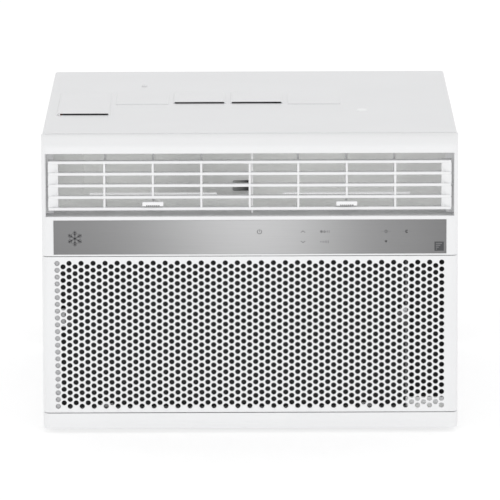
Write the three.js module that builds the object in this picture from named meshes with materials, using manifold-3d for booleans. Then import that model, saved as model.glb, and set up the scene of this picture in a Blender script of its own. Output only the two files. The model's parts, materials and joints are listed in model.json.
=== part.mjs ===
// A window air conditioner: sheet-steel cabinet, plastic front, and the whole machine inside.
// Millimetres. X runs to the right, Y runs back from the front face, Z runs up from the floor.

import * as THREE from "three";
import { mergeVertices } from "three/addons/utils/BufferGeometryUtils.js";
import Module from "manifold-3d";

const wasm = await Module();
wasm.setup();

// Overall sizes
const width = 502;
const depth = 546;
const height = 360;

// Walls and clearances
const panelWall = 2.5;
const sheet = 1.2;
const gap = 0.3;
const seam = 0.8;

// Plastic front
const panelDepth = 40;
const panelTop = height - 0.5;
const panelBottom = 6;
const frontTop = panelTop - 8;
const frontDraft = 2;
const cornerRadius = 7;
const faceMargin = 5.4;

// Air outlet at the top of the front
const outletHeight = 76.6;
const outletTop = frontTop - 10;
const outletBottom = outletTop - outletHeight;
const outletHalf = width / 2 - faceMargin;

// Control strip under the outlet
const stripHeight = 41.1;
const stripTop = outletBottom - 4.4;
const stripBottom = stripTop - stripHeight;
const stripHalf = width / 2 - 15.6;
const stripThickness = 0.7;

// Perforated door under the control strip
const doorTop = stripBottom - 2.2;
const doorBottom = 24.65;
const doorReturn = 12;
const hingeY = panelWall;
const hingeZ = doorBottom + seam + panelWall;

// Tilting louvre frame
const slatCount = 5;
const slatPitch = 14.1;
const slatThickness = 3;
const louvreFront = 3;
const louvreDepth = 16;
const louvreEnd = 12.6;
const louvreHalf = outletHalf - 3.5;
const louvreAxisY = 12;
const louvreDrop = 1.1;
const louvreAxisZ = (outletTop + outletBottom) / 2 - louvreDrop;
const ribPitch = 58.1;
const ribThickness = 2.8;
const ribsPerSide = 3;

// Vertical vanes
const vanesPerGroup = 3;
const barOverhang = 18.5;
const vaneThickness = 1.6;
const vaneFront = 30;
const vaneDepth = 32;
const vanePivot = 52;
const armRadius = 18;
const barHeight = 2;
const barRise = 7.1;
const notchHeight = 7;
const bladeDrop = 13;
const pinRadius = 0.8;
const pivotRadius = 1.5;
const tabWidth = 25;
const tabDepth = 8;
const tabHeight = 4.8;
const tabFront = 1;
const tabRise = 6.1;
const tabZ = louvreAxisZ - (slatCount - 1) / 2 * slatPitch + tabRise;
const barZ = tabZ + barRise;
const railThickness = 3;

// Cooling circuit
const coilLeft = -width / 2 + 15;
const coilRight = width / 2 - 64;
const coilBottom = 30;
const coilTop = doorTop - 5;
const evaporatorFront = 49;
const evaporatorDepth = 40;
const condenserDepth = 44;
const condenserRear = 16;
const condenserTop = height - 16;
const coilPlate = 1.5;

// Fans and motor
const fanX = -30;
const fanZ = 158;
const blowerRadius = 78;
const blowerLength = 58;
const blowerFront = 97;
const scrollGrowth = 24;
const scrollClearance = 10;
const bulkheadY = 163;
const motorRadius = 52;
const motorLength = 76;
const motorY = 176;
const shaftRadius = 6;
const axialRadius = 118;
const axialWidth = 28;
const shroudDepth = 46;
const bladeCount = 5;

// Compressor
const compressorX = coilRight - 22;
const compressorY = 300;
const compressorRadius = 54;
const compressorHeight = 205;
const footHeight = 14;
const footRadius = 11;
const pipeRadius = 4;

// Power cord entry in the right side of the cabinet
const glandBore = 4;
const glandHole = 7;
const glandY = 70;
const glandZ = 46;

// Bottom
const panRim = 26;
const panDepthInset = 2;

const colours = {
  white_plastic: [0xf1f1f3, 0.45, 0],
  painted_steel: [0xe8e8ea, 0.5, 0.1],
  silver_overlay: [0xb8b8b8, 0.35, 0.6],
  dark_plastic: [0x2b2b2d, 0.6, 0],
  foam: [0xd2d2d0, 0.9, 0],
  aluminium: [0xb9bcc0, 0.4, 0.9],
  galvanised: [0xa8abae, 0.5, 0.8],
  copper: [0xb8683c, 0.35, 0.9],
  rubber: [0x1b1b1b, 0.85, 0],
  board_green: [0x1f5d3a, 0.5, 0],
  filter_mesh: [0xdedee0, 0.7, 0],
  black_enamel: [0x19191b, 0.4, 0.2],
};
const materials = {};
for (const [name, [color, roughness, metalness]] of Object.entries(colours)) {
  materials[name] = new THREE.MeshStandardMaterial({ color, roughness, metalness, name });
}

const model = new THREE.Group();
model.position.y = -depth / 2;

// ---- helpers -------------------------------------------------------------

function piece(name, geometry, finish) {
  const mesh = new THREE.Mesh(geometry, materials[finish]);
  mesh.name = name;
  model.add(mesh);
  return mesh;
}

function box(x0, x1, y0, y1, z0, z1) {
  const solid = new THREE.BoxGeometry(x1 - x0, y1 - y0, z1 - z0);
  return solid.translate((x0 + x1) / 2, (y0 + y1) / 2, (z0 + z1) / 2);
}

// A cylinder from one end point along X, Y or Z
function rod(axis, radius, length, x, y, z, sides = 24) {
  const solid = new THREE.CylinderGeometry(radius, radius, length, sides);
  if (axis === "x") solid.rotateZ(-Math.PI / 2);
  if (axis === "z") solid.rotateX(Math.PI / 2);
  const half = length / 2;
  return solid.translate(
    x + (axis === "x" ? half : 0),
    y + (axis === "y" ? half : 0),
    z + (axis === "z" ? half : 0),
  );
}

// An outline in X and Y, raised along Z
function raise(shape, z0, z1, curveSegments = 6) {
  const settings = { depth: z1 - z0, bevelEnabled: false, curveSegments };
  return new THREE.ExtrudeGeometry(shape, settings).translate(0, 0, z0);
}

// An outline in X and Z, carried back along Y
function carry(shape, y0, y1, curveSegments = 12) {
  const settings = { depth: y1 - y0, bevelEnabled: false, curveSegments };
  const solid = new THREE.ExtrudeGeometry(shape, settings);
  return solid.rotateX(Math.PI / 2).translate(0, y1, 0);
}

// An outline in Y and Z, carried along X
function across(points, x0, x1) {
  const shape = new THREE.Shape(points.map(([y, z]) => new THREE.Vector2(y, z)));
  const settings = { depth: x1 - x0, bevelEnabled: false };
  const solid = new THREE.ExtrudeGeometry(shape, settings);
  const turn = new THREE.Matrix4().set(0, 0, 1, x0, 1, 0, 0, 0, 0, 1, 0, 0, 0, 0, 0, 1);
  return solid.applyMatrix4(turn);
}

function rectangle(x0, x1, z0, z1, Kind = THREE.Shape) {
  const outline = new Kind();
  outline.moveTo(x0, z0);
  outline.lineTo(x1, z0);
  outline.lineTo(x1, z1);
  outline.lineTo(x0, z1);
  outline.closePath();
  return outline;
}

function circle(x, z, radius) {
  return new THREE.Path().absarc(x, z, radius, 0, 2 * Math.PI, true);
}

function solidOf(geometry) {
  const bare = geometry.clone();
  bare.deleteAttribute("normal");
  bare.deleteAttribute("uv");
  const merged = mergeVertices(bare, 1e-4);
  return new wasm.Manifold(new wasm.Mesh({
    numProp: 3,
    vertProperties: new Float32Array(merged.attributes.position.array),
    triVerts: new Uint32Array(merged.index.array),
  }));
}

function geometryOf(solid) {
  const mesh = solid.getMesh();
  const geometry = new THREE.BufferGeometry();
  geometry.setAttribute("position", new THREE.BufferAttribute(mesh.vertProperties, 3));
  geometry.setIndex(new THREE.BufferAttribute(mesh.triVerts, 1));
  return geometry;
}

function join(first, ...rest) {
  return geometryOf(rest.reduce((sum, next) => sum.add(solidOf(next)), solidOf(first)));
}

function cut(first, ...rest) {
  return geometryOf(rest.reduce((left, next) => left.subtract(solidOf(next)), solidOf(first)));
}

function common(first, second) {
  return geometryOf(solidOf(first).intersect(solidOf(second)));
}

// A flat grid of bars, with its outer border
function grid(x0, x1, z0, z1, columns, rows, bar, y0, y1) {
  const parts = [];
  for (let column = 0; column <= columns; column += 1) {
    const x = x0 + column * (x1 - x0 - bar) / columns;
    parts.push(box(x, x + bar, y0, y1, z0, z1));
  }
  for (let row = 0; row <= rows; row += 1) {
    const z = z0 + row * (z1 - z0 - bar) / rows;
    parts.push(box(x0, x1, y0, y1, z, z + bar));
  }
  return join(...parts);
}

// ---- cabinet, base pan and rear guard ------------------------------------

function cabinet() {
  const half = width / 2 - 1;
  const front = panelDepth + gap;
  const outside = box(-half, half, front, depth, sheet + gap, height);
  const inside = box(-half + sheet, half - sheet, front - 1, depth + 1, -1, height - sheet);
  const lift = 3;
  const ventPitch = 71;
  const ventWidth = 61;
  const ventFront = 183;
  const holes = [];
  for (const row of [0, 2, 3]) {
    const left = -width / 2 + 16 + row * ventPitch;
    const start = row === 0 ? ventFront : ventFront + 91;
    holes.push(box(left, left + ventWidth, start, start + lift, height - 2 * sheet, height + 1));
  }
  for (const side of [-1, 1]) {
    for (let row = 0; row < 6; row += 1) {
      const y = 230 + row * 44;
      const x = side * half;
      holes.push(box(x - 2 * sheet, x + 2 * sheet, y, y + 30, 90, 94));
      holes.push(box(x - 2 * sheet, x + 2 * sheet, y, y + 30, 150, 154));
      holes.push(box(x - 2 * sheet, x + 2 * sheet, y, y + 30, 210, 214));
    }
  }
  holes.push(rod("x", glandHole, 4 * sheet, half - 2 * sheet, glandY, glandZ, 16));
  piece("cabinet", cut(outside, inside, ...holes), "painted_steel");
}

function basePan() {
  const half = width / 2 - 1 - sheet - gap;
  const front = panelDepth + gap + panDepthInset;
  const rear = depth - panDepthInset;
  const outside = box(-half, half, front, rear, 0, panRim);
  const inside = box(-half + sheet, half - sheet, front + sheet, rear - sheet, sheet, panRim + 1);
  const drain = rod("z", 6, 4 * sheet, half - 40, rear - 30, -sheet, 16);
  piece("base_pan", cut(outside, inside, drain), "galvanised");
  const plug = new THREE.LatheGeometry([
    new THREE.Vector2(0, sheet + gap),
    new THREE.Vector2(9, sheet + gap),
    new THREE.Vector2(9, sheet + 4),
    new THREE.Vector2(0, sheet + 4),
  ], 16);
  plug.rotateX(Math.PI / 2);
  plug.translate(half - 40, rear - 30, 0);
  piece("drain_plug", plug, "rubber");
}

function rearGuard() {
  const half = width / 2 - 1 - sheet - 14;
  const bars = grid(-half, half, panRim + 8, condenserTop + 6, 10, 9, 3, depth - 9, depth - 6);
  piece("rear_guard", bars, "black_enamel");
}

// ---- plastic front -------------------------------------------------------

// Plan of the front, shrunk inwards by the wall
function frontPlan(inset, rear) {
  const back = width / 2 - inset;
  const face = back - frontDraft;
  const radius = cornerRadius - inset * 0.8;
  const plan = new THREE.Shape();
  plan.moveTo(-back, rear);
  plan.lineTo(-face, inset + radius);
  plan.absarc(-face + radius, inset + radius, radius, Math.PI, 1.5 * Math.PI, false);
  plan.absarc(face - radius, inset + radius, radius, 1.5 * Math.PI, 2 * Math.PI, false);
  plan.lineTo(back, rear);
  plan.closePath();
  return plan;
}

// Side profile of the front: sloping top with a rounded front edge
function frontProfile(inset, rear) {
  const slope = (panelTop - frontTop) / panelDepth;
  const points = [[inset, panelBottom + inset], [rear, panelBottom + inset]];
  points.push([rear, panelTop + slope * (rear - panelDepth) - inset]);
  const round = 4 - inset * 0.8;
  points.push([inset + round, frontTop + slope * round - inset]);
  points.push([inset + round * 0.3, frontTop - round * 0.3 - inset]);
  points.push([inset, frontTop - round - inset]);
  return points;
}

function frontBody(inset, rear) {
  const plan = raise(frontPlan(inset, rear), panelBottom - 1, height + 1);
  const profile = across(frontProfile(inset, rear), -width, width);
  return common(plan, profile);
}

function frontPanel() {
  const mouth = box(-outletHalf, outletHalf, -1, panelWall + 1, outletBottom, outletTop);
  const doorway = box(-width, width, -1, doorReturn, doorBottom, doorTop);
  const doorLight = box(
    -width / 2 + 12, width / 2 - 12, -1, panelDepth + 1, doorBottom, doorTop,
  );
  const recess = box(
    -stripHalf - gap, stripHalf + gap, -1, stripThickness + gap,
    stripBottom - gap, stripTop + gap,
  );
  const shell = cut(
    frontBody(0, panelDepth), frontBody(panelWall, panelDepth + 1),
    mouth, doorway, doorLight, recess,
  );
  const shelves = [outletBottom - panelWall, outletTop].map((z) => (
    box(-outletHalf, outletHalf, panelWall / 2, panelDepth, z, z + panelWall)
  ));
  piece("front_panel", join(shell, ...shelves), "white_plastic");
  const strip = box(-stripHalf, stripHalf, 0, stripThickness, stripBottom, stripTop);
  piece("control_overlay", strip, "silver_overlay");
}

function grilleDoor() {
  const reach = doorReturn - seam;
  const band = box(-width, width, -1, reach, doorBottom + seam, doorTop - seam);
  const shell = cut(frontBody(0, panelDepth), frontBody(panelWall, panelDepth + 1));
  const edge = cut(
    box(-width, width, -1, hingeY, doorBottom - 1, hingeZ),
    rod("x", panelWall, 4 * width, -2 * width, hingeY, hingeZ, 20),
  );
  piece("grille_door", cut(common(shell, band), edge), "white_plastic");
}

function airFilter() {
  const top = doorTop - 6;
  const front = doorReturn + 2;
  const bars = grid(coilLeft, coilRight, coilBottom, top, 4, 3, 6, front, front + 5);
  const net = box(coilLeft + 1, coilRight - 1, front + 2, front + 3, coilBottom + 1, top - 1);
  piece("air_filter", join(bars, net), "filter_mesh");
  for (const [name, x] of [["left", coilLeft + 8], ["right", coilRight - 12]]) {
    const arm = box(x, x + 6, panelWall + 3, front - gap, 132, 150);
    const latch = box(x + 5, x + 14, front - 4, front - gap, 130, 152);
    piece(`filter_clip_${name}`, join(arm, latch), "white_plastic");
  }
}

// ---- air outlet ----------------------------------------------------------

function louvreFrame() {
  const rear = louvreFront + louvreDepth;
  const lowest = louvreAxisZ - (slatCount - 1) / 2 * slatPitch - slatThickness / 2;
  const parts = [];
  for (let row = 0; row < slatCount; row += 1) {
    const z = lowest + row * slatPitch;
    parts.push(box(-louvreHalf, louvreHalf, louvreFront, rear, z, z + slatThickness));
  }
  const top = lowest + (slatCount - 1) * slatPitch + slatThickness;
  for (const side of [-1, 1]) {
    const outer = side * louvreHalf;
    const inner = side * (louvreHalf - louvreEnd);
    parts.push(box(
      Math.min(outer, inner), Math.max(outer, inner), louvreFront - 1, rear, lowest, top,
    ));
  }
  for (let rib = -ribsPerSide; rib <= ribsPerSide; rib += 1) {
    const x = rib * ribPitch;
    const openBelow = Math.abs(rib) === 2;
    const bottom = openBelow ? lowest + slatPitch : lowest;
    parts.push(box(
      x - ribThickness / 2, x + ribThickness / 2, louvreFront + 1, rear - 1,
      bottom + slatThickness / 2, top - slatThickness / 2,
    ));
  }
  for (const side of [-1, 1]) {
    const start = side > 0 ? louvreHalf - 1 : -louvreHalf - 1.8;
    parts.push(rod("x", 3, 2.8, start, louvreAxisY, louvreAxisZ, 16));
  }
  piece("louvre_frame", join(...parts), "white_plastic");
}

// Each vane stands behind a rib of the louvre frame
function vaneX(side, row) {
  return side * (row + 1) * ribPitch;
}

function vane(side, row) {
  const x = vaneX(side, row);
  const half = vaneThickness / 2;
  const bottom = outletBottom + railThickness;
  const top = outletTop - railThickness;
  const parts = [
    box(x - half, x + half, vaneFront, vaneFront + vaneDepth, bottom, outletTop - bladeDrop),
    rod("z", pivotRadius, top - bottom + 4, x, vanePivot, bottom - 2, 8),
  ];
  const slot = box(
    x - 3, x + 3, vaneFront - 1, vanePivot - armRadius + 6.5,
    barZ - notchHeight / 2, barZ + notchHeight / 2,
  );
  const body = cut(join(...parts), slot);
  const fittings = [
    rod("z", pinRadius, notchHeight, x, vanePivot - armRadius, barZ - notchHeight / 2 - 1, 8),
  ];
  if (row === (vanesPerGroup - 1) / 2) {
    const tabHalf = tabWidth / 2;
    const tabRear = tabFront + tabDepth;
    fittings.push(box(x - 1, x + 1, tabRear - 1, vaneFront + 1, tabZ - 2, tabZ + 2));
    fittings.push(box(
      x - tabHalf, x + tabHalf, tabFront, tabRear, tabZ - tabHeight / 2, tabZ + tabHeight / 2,
    ));
  }
  const name = side < 0 ? "vane_left" : "vane_right";
  piece(`${name}_${row + 1}`, join(body, ...fittings), "white_plastic");
}

function tieBar(side) {
  const near = vaneX(side, 0);
  const far = vaneX(side, vanesPerGroup - 1);
  const y = vanePivot - armRadius;
  const end = barOverhang;
  const z0 = barZ - barHeight / 2;
  const z1 = barZ + barHeight / 2;
  const bar = box(Math.min(near, far) - end, Math.max(near, far) + end, y - 3.2, y + 4.4, z0, z1);
  const slots = [];
  for (let row = 0; row < vanesPerGroup; row += 1) {
    const x = vaneX(side, row);
    slots.push(box(x - 1.6, x + 1.6, y - 1.5, y + 3, z0 - 1, z1 + 1));
  }
  piece(side < 0 ? "tie_bar_left" : "tie_bar_right", cut(bar, ...slots), "white_plastic");
}

function vaneRails() {
  for (const [name, z] of [["bottom", outletBottom - gap], ["top", outletTop - railThickness + gap]]) {
    const half = outletHalf - 8 - gap;
    const rail = box(-half, half, vanePivot - 8, vanePivot + 8, z, z + railThickness);
    const holes = [];
    for (const side of [-1, 1]) {
      for (let row = 0; row < vanesPerGroup; row += 1) {
        holes.push(rod(
          "z", pivotRadius + gap, railThickness + 2, vaneX(side, row), vanePivot, z - 1, 8,
        ));
      }
    }
    piece(`vane_rail_${name}`, cut(rail, ...holes), "white_plastic");
  }
}

function outletDuct() {
  const half = outletHalf - 4;
  const wall = 4;
  const front = panelDepth + 1;
  const rear = bulkheadY - gap;
  const bottom = outletBottom - 2 * gap;
  const top = outletTop + 2 * gap;
  const outside = box(-half, half, front, rear, bottom - wall, top + wall);
  const throat = new THREE.Shape();
  const throatLeft = -outletHalf + 42;
  const throatRight = fanX + blowerRadius + scrollGrowth + 40;
  throat.moveTo(-half + wall, front - 1);
  throat.lineTo(half - wall, front - 1);
  throat.lineTo(half - wall, vanePivot + 12);
  throat.lineTo(throatRight, rear - wall);
  throat.lineTo(throatLeft, rear - wall);
  throat.lineTo(-half + wall, vanePivot + 12);
  throat.closePath();
  const inside = raise(throat, bottom, top);
  const intake = box(
    fanX - 82, fanX + 30, blowerFront - 3, rear - wall, bottom - wall - 1, bottom + 1,
  );
  piece("outlet_duct", cut(outside, inside, intake), "foam");
  const grommetRear = rear - wall - gap;
  const grommet = box(-21, 0, grommetRear - 3, grommetRear, outletBottom + 5, outletBottom + 18);
  piece("wire_grommet", grommet, "rubber");
  for (const side of [-1, 1]) {
    const inner = side * (outletHalf - 10);
    const outer = side * (outletHalf + 1);
    piece(side < 0 ? "pivot_bracket_left" : "pivot_bracket_right", box(
      Math.min(inner, outer), Math.max(inner, outer), vaneFront - 5, panelDepth - 2,
      outletBottom + gap, outletTop - gap,
    ), "white_plastic");
  }
  const postX = 2.9;
  const post = box(
    postX - 1, postX + 1, vaneFront - 5, vaneFront - 1, outletBottom + gap, outletTop - gap,
  );
  piece("centre_post", post, "white_plastic");
}

// ---- cooling circuit -----------------------------------------------------

function coil(name, front, thickness, top) {
  const bottom = coilBottom;
  const block = box(
    coilLeft + 4, coilRight - 4, front, front + thickness, bottom + 1, top - 1,
  );
  const plates = [coilLeft + 4, coilRight - 4 - coilPlate].map((x) => (
    box(x - 0.5, x + coilPlate + 0.5, front - 1, front + thickness + 1, bottom, top)
  ));
  piece(name, join(block, ...plates), "aluminium");
}

function dripTray() {
  const front = evaporatorFront - 1;
  const rear = evaporatorFront + evaporatorDepth + 8;
  const half = width / 2 - 8;
  const outside = box(-half, half, front - 2, rear, sheet + gap, coilBottom - gap);
  const trough = box(-half + 2, half - 2, front, rear - 2, sheet + gap + 4, coilBottom + 10);
  const ledges = [0, 1, 2].map((row) => {
    const x = coilLeft + 30 + row * (coilRight - coilLeft - 80) / 2;
    return box(x, x + 20, front - 1, rear - 1, sheet + gap + 1, coilBottom - gap);
  });
  const stopFront = hingeY + 4.5;
  const stopLeft = coilRight + 1.5;
  const stopRight = half - 7;
  const foot = box(stopLeft, stopRight, stopFront, front, coilBottom - 3.4, coilBottom - 0.6);
  const stop = box(stopLeft, stopRight, stopFront, stopFront + 3, coilBottom - 6, coilBottom + 11);
  piece("drip_tray", join(cut(outside, trough), ...ledges, foot, stop), "foam");
  const baffle = box(
    coilRight + 1, width / 2 - 5, evaporatorFront - 9, evaporatorFront - 7,
    coilBottom + gap, doorTop - 3,
  );
  piece("side_baffle", baffle, "dark_plastic");
  const sensor = box(-6, 22, evaporatorFront - 12, evaporatorFront - gap - 1, 93, 105);
  piece("sensor_clip", sensor, "dark_plastic");
}

function pipe(name, points, radius, finish) {
  const route = new THREE.CatmullRomCurve3(
    points.map(([x, y, z]) => new THREE.Vector3(x, y, z)), false, "catmullrom", 0.3,
  );
  const section = new THREE.Shape();
  section.absarc(0, 0, radius, 0, 2 * Math.PI, false);
  const geometry = new THREE.ExtrudeGeometry(section, {
    steps: 6 * (points.length - 1), curveSegments: 4, bevelEnabled: false, extrudePath: route,
  });
  piece(name, geometry, finish);
}

function compressorSet() {
  const base = sheet + gap + footHeight;
  const crown = 22;
  const r = compressorRadius;
  const top = base + compressorHeight;
  const profile = [
    [0, base + gap],
    [r * 0.85, base + gap],
    [r, base + crown],
    [r, top - crown],
    [r * 0.82, top - crown * 0.35],
    [r * 0.4, top],
    [0, top],
  ].map(([x, z]) => new THREE.Vector2(x, z));
  const shell = new THREE.LatheGeometry(profile, 32);
  shell.rotateX(Math.PI / 2);
  shell.translate(compressorX, compressorY, 0);
  const lugs = [0, 1, 2].map((k) => 2 * Math.PI * k / 3 + Math.PI / 2);
  const reach = r + 8;
  const arms = lugs.map((angle) => {
    const arm = box(0, reach + footRadius, -10, 10, base + gap, base + gap + 3);
    arm.rotateZ(angle);
    return arm.translate(compressorX, compressorY, 0);
  });
  piece("compressor", join(shell, ...arms), "black_enamel");
  lugs.forEach((angle, k) => {
    const x = compressorX + reach * Math.cos(angle);
    const y = compressorY + reach * Math.sin(angle);
    const foot = rod("z", footRadius, footHeight, x, y, sheet + gap, 16);
    piece(`compressor_foot_${k + 1}`, foot, "rubber");
  });
  const bottleX = compressorX + 26;
  const bottleY = compressorY - r - 24;
  const bottleBottom = 70;
  const bottleTop = 170;
  piece("accumulator", rod("z", 17, bottleTop - bottleBottom, bottleX, bottleY, bottleBottom), "copper");
  const coilRear = evaporatorFront + evaporatorDepth;
  const hotFront = depth - condenserRear - condenserDepth;
  const lane = coilRight + 14;
  pipe("suction_pipe", [
    [coilRight + gap, coilRear - 20, 180],
    [lane, coilRear - 18, 184],
    [lane, coilRear + 60, 200],
    [bottleX, bottleY - 20, 204],
    [bottleX, bottleY, 190],
    [bottleX, bottleY, bottleTop + gap],
  ], pipeRadius, "copper");
  pipe("discharge_pipe", [
    [compressorX, compressorY, top + gap],
    [compressorX, compressorY, top + 16],
    [compressorX + 30, compressorY + 20, top + 20],
    [lane, compressorY + 70, top],
    [lane, hotFront - 10, 190],
    [lane - 4, hotFront + 14, 180],
    [coilRight + gap, hotFront + 20, 180],
  ], pipeRadius, "copper");
  const around = compressorX + r + 6;
  pipe("capillary_tube", [
    [coilRight + gap, hotFront + 20, 60],
    [lane + 12, hotFront + 4, 60],
    [around, compressorY + 60, 46],
    [around, coilRear + 60, 46],
    [lane + 6, coilRear - 10, 60],
    [coilRight + gap, coilRear - 20, 66],
  ], 1.6, "copper");
}

// ---- blower, motor and condenser fan -------------------------------------

function bulkhead() {
  const half = width / 2 - 1 - sheet - 3;
  const wall = rectangle(-half, half, panRim + gap + 1, height - sheet - 2);
  wall.holes.push(circle(fanX, fanZ, shaftRadius + 8));
  wall.holes.push(rectangle(coilRight + 4, half - 6, panRim + 8, 215, THREE.Path));
  piece("bulkhead", carry(wall, bulkheadY, bulkheadY + 3), "galvanised");
}

// Radius of the scroll at an angle measured from its tightest place
function scrollRadius(turn) {
  return blowerRadius + scrollClearance + scrollGrowth * turn;
}

function blowerScroll() {
  const wall = 2;
  const steps = 28;
  const outletZ = outletBottom - 2 * gap - 4 - gap;
  const start = 0.12;
  const outline = new THREE.Shape();
  const inner = [];
  const outer = [];
  for (let step = 0; step <= steps; step += 1) {
    const turn = start + (0.75 - start) * step / steps;
    const angle = Math.PI * 0.5 - 2 * Math.PI * turn;
    const radius = scrollRadius(turn);
    inner.push([fanX + radius * Math.cos(angle), fanZ + radius * Math.sin(angle)]);
    const wide = radius + wall;
    outer.push([fanX + wide * Math.cos(angle), fanZ + wide * Math.sin(angle)]);
  }
  const lastInner = inner[inner.length - 1];
  inner.push([lastInner[0], outletZ]);
  outer.push([lastInner[0] - wall, outletZ]);
  const loop = [...outer, ...inner.reverse()];
  loop.forEach(([x, z], index) => (index ? outline.lineTo(x, z) : outline.moveTo(x, z)));
  outline.closePath();
  const rear = bulkheadY - gap;
  const spiral = carry(outline, blowerFront - 6, rear);
  const plate = rectangle(
    fanX - scrollRadius(0.75) - wall, fanX + scrollRadius(0.4) + wall,
    fanZ - scrollRadius(0.55) - wall, outletZ,
  );
  plate.holes.push(circle(fanX, fanZ, blowerRadius - 16));
  const front = carry(plate, blowerFront - 6, blowerFront - 4, 10);
  piece("blower_scroll", join(spiral, front), "foam");
}

function blowerWheel() {
  const blades = 24;
  const inner = blowerRadius - 16;
  const back = blowerFront + blowerLength;
  const disc = new THREE.Shape();
  disc.absarc(fanX, fanZ, blowerRadius, 0, 2 * Math.PI, false);
  disc.holes.push(circle(fanX, fanZ, shaftRadius + gap));
  const ring = new THREE.Shape();
  ring.absarc(fanX, fanZ, blowerRadius, 0, 2 * Math.PI, false);
  ring.holes.push(circle(fanX, fanZ, inner));
  const parts = [
    carry(disc, back - 2, back, 12),
    carry(ring, blowerFront, blowerFront + 3, 12),
  ];
  for (let blade = 0; blade < blades; blade += 1) {
    const vaneBlade = box(inner + 1, blowerRadius - 1, blowerFront + 1, back - 1, -0.8, 0.8);
    vaneBlade.rotateY(0.5 - 2 * Math.PI * blade / blades);
    parts.push(vaneBlade.translate(fanX, 0, fanZ));
  }
  const hub = new THREE.Shape();
  hub.absarc(fanX, fanZ, shaftRadius + 6, 0, 2 * Math.PI, false);
  hub.holes.push(circle(fanX, fanZ, shaftRadius + gap));
  parts.push(carry(hub, back - 26, back - 1, 12));
  piece("blower_wheel", join(...parts), "dark_plastic");
}

function motorSet() {
  const body = rod("y", motorRadius, motorLength, fanX, motorY, fanZ, 28);
  const bearing = rod("y", 18, motorLength + 16, fanX, motorY - 8, fanZ, 20);
  const bore = rod("y", shaftRadius + gap, motorLength + 40, fanX, motorY - 20, fanZ, 20);
  piece("fan_motor", cut(join(body, bearing), bore), "black_enamel");
  const shaftFront = blowerFront + blowerLength - 30;
  const shaftRear = depth - condenserRear - condenserDepth - 22;
  const shaft = rod("y", shaftRadius, shaftRear - shaftFront, fanX, shaftFront, fanZ, 20);
  piece("motor_shaft", shaft, "galvanised");
  const saddle = rectangle(fanX - 45, fanX + 45, sheet + gap, fanZ);
  const y0 = motorY + 14;
  const y1 = motorY + motorLength - 14;
  const stand = cut(
    carry(saddle, y0, y1),
    rod("y", motorRadius + gap, motorLength, fanX, motorY, fanZ, 28),
    box(fanX - 36, fanX + 36, y0 - 1, y1 + 1, sheet + 4, fanZ - motorRadius - 5),
    box(fanX - 60, fanX + 60, y0 + 4, y1 + 1, sheet + 4, fanZ - motorRadius - 5),
    box(fanX - 60, fanX + 60, y0 - 1, y1 + 1, fanZ - 20, fanZ + 1),
  );
  piece("motor_bracket", stand, "galvanised");
}

function condenserFan() {
  const front = depth - condenserRear - condenserDepth - 24 - axialWidth;
  const hubRadius = 32;
  const tip = axialRadius - 3;
  const parts = [rod("y", hubRadius, axialWidth, fanX, front, fanZ, 24)];
  for (let blade = 0; blade < bladeCount; blade += 1) {
    const outline = new THREE.Shape();
    outline.moveTo(hubRadius - 4, -14);
    outline.quadraticCurveTo(tip * 0.6, -48, tip, -34);
    outline.quadraticCurveTo(tip + 3, 6, tip - 8, 44);
    outline.quadraticCurveTo(tip * 0.55, 34, hubRadius - 4, 14);
    outline.closePath();
    const sheetBlade = carry(outline, -1, 1, 4);
    sheetBlade.rotateX(0.22);
    sheetBlade.rotateY(2 * Math.PI * blade / bladeCount);
    parts.push(sheetBlade.translate(fanX, front + axialWidth / 2, fanZ));
  }
  const slinger = new THREE.Shape();
  slinger.absarc(fanX, fanZ, axialRadius, 0, 2 * Math.PI, false);
  slinger.holes.push(circle(fanX, fanZ, tip - 4));
  parts.push(carry(slinger, front + axialWidth - 12, front + axialWidth - 2, 16));
  const bore = rod("y", shaftRadius + gap, axialWidth + 4, fanX, front - 2, fanZ, 20);
  piece("condenser_fan", cut(join(...parts), bore), "dark_plastic");
  const rear = depth - condenserRear - condenserDepth - 2;
  const half = axialRadius + 8;
  const left = -width / 2 + 12;
  const right = coilRight;
  const face = rectangle(left, right, panRim + gap + 1, condenserTop - 2);
  face.holes.push(circle(fanX, fanZ, half));
  const ring = new THREE.Shape();
  ring.absarc(fanX, fanZ, half + 2, 0, 2 * Math.PI, false);
  ring.holes.push(circle(fanX, fanZ, half - 0.5));
  const shroud = join(
    carry(face, rear - 2, rear, 16), carry(ring, rear - shroudDepth, rear - 1, 16),
  );
  piece("fan_shroud", shroud, "galvanised");
}

// ---- electrical parts ----------------------------------------------------

function electrics() {
  const board = box(10, 205, 8, 9.6, stripBottom + 4, stripTop - 4);
  piece("control_board", board, "board_green");
  const x0 = coilRight + 8;
  const x1 = width / 2 - 10;
  const outside = box(x0, x1, panelDepth + 12, bulkheadY - 8, 220, outletBottom - 8);
  piece("control_box", outside, "galvanised");
  const capacitor = rod("z", 17, 64, coilRight + 36, bulkheadY + 24, 225, 24);
  piece("run_capacitor", capacitor, "aluminium");
  const bore = glandBore;
  const wallFace = width / 2 - 1;
  const gland = new THREE.LatheGeometry([
    [bore, 1],
    [bore, -16],
    [bore + 2, -16],
    [glandHole - gap, -sheet - 1],
    [glandHole - gap, gap],
    [glandHole + 4, gap],
    [glandHole + 3, 1],
    [bore, 1],
  ].map(([r, x]) => new THREE.Vector2(r, x)), 16);
  gland.rotateZ(-Math.PI / 2);
  piece("cord_gland", gland.translate(wallFace, glandY, glandZ), "rubber");
  const head = new THREE.LatheGeometry([
    new THREE.Vector2(0, 0),
    new THREE.Vector2(4, 0),
    new THREE.Vector2(3.4, 1.4),
    new THREE.Vector2(0, 2),
  ], 12);
  head.rotateX(Math.PI / 2);
  piece("top_screw", head.translate(-133, 418, height + gap), "galvanised");
}

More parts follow.
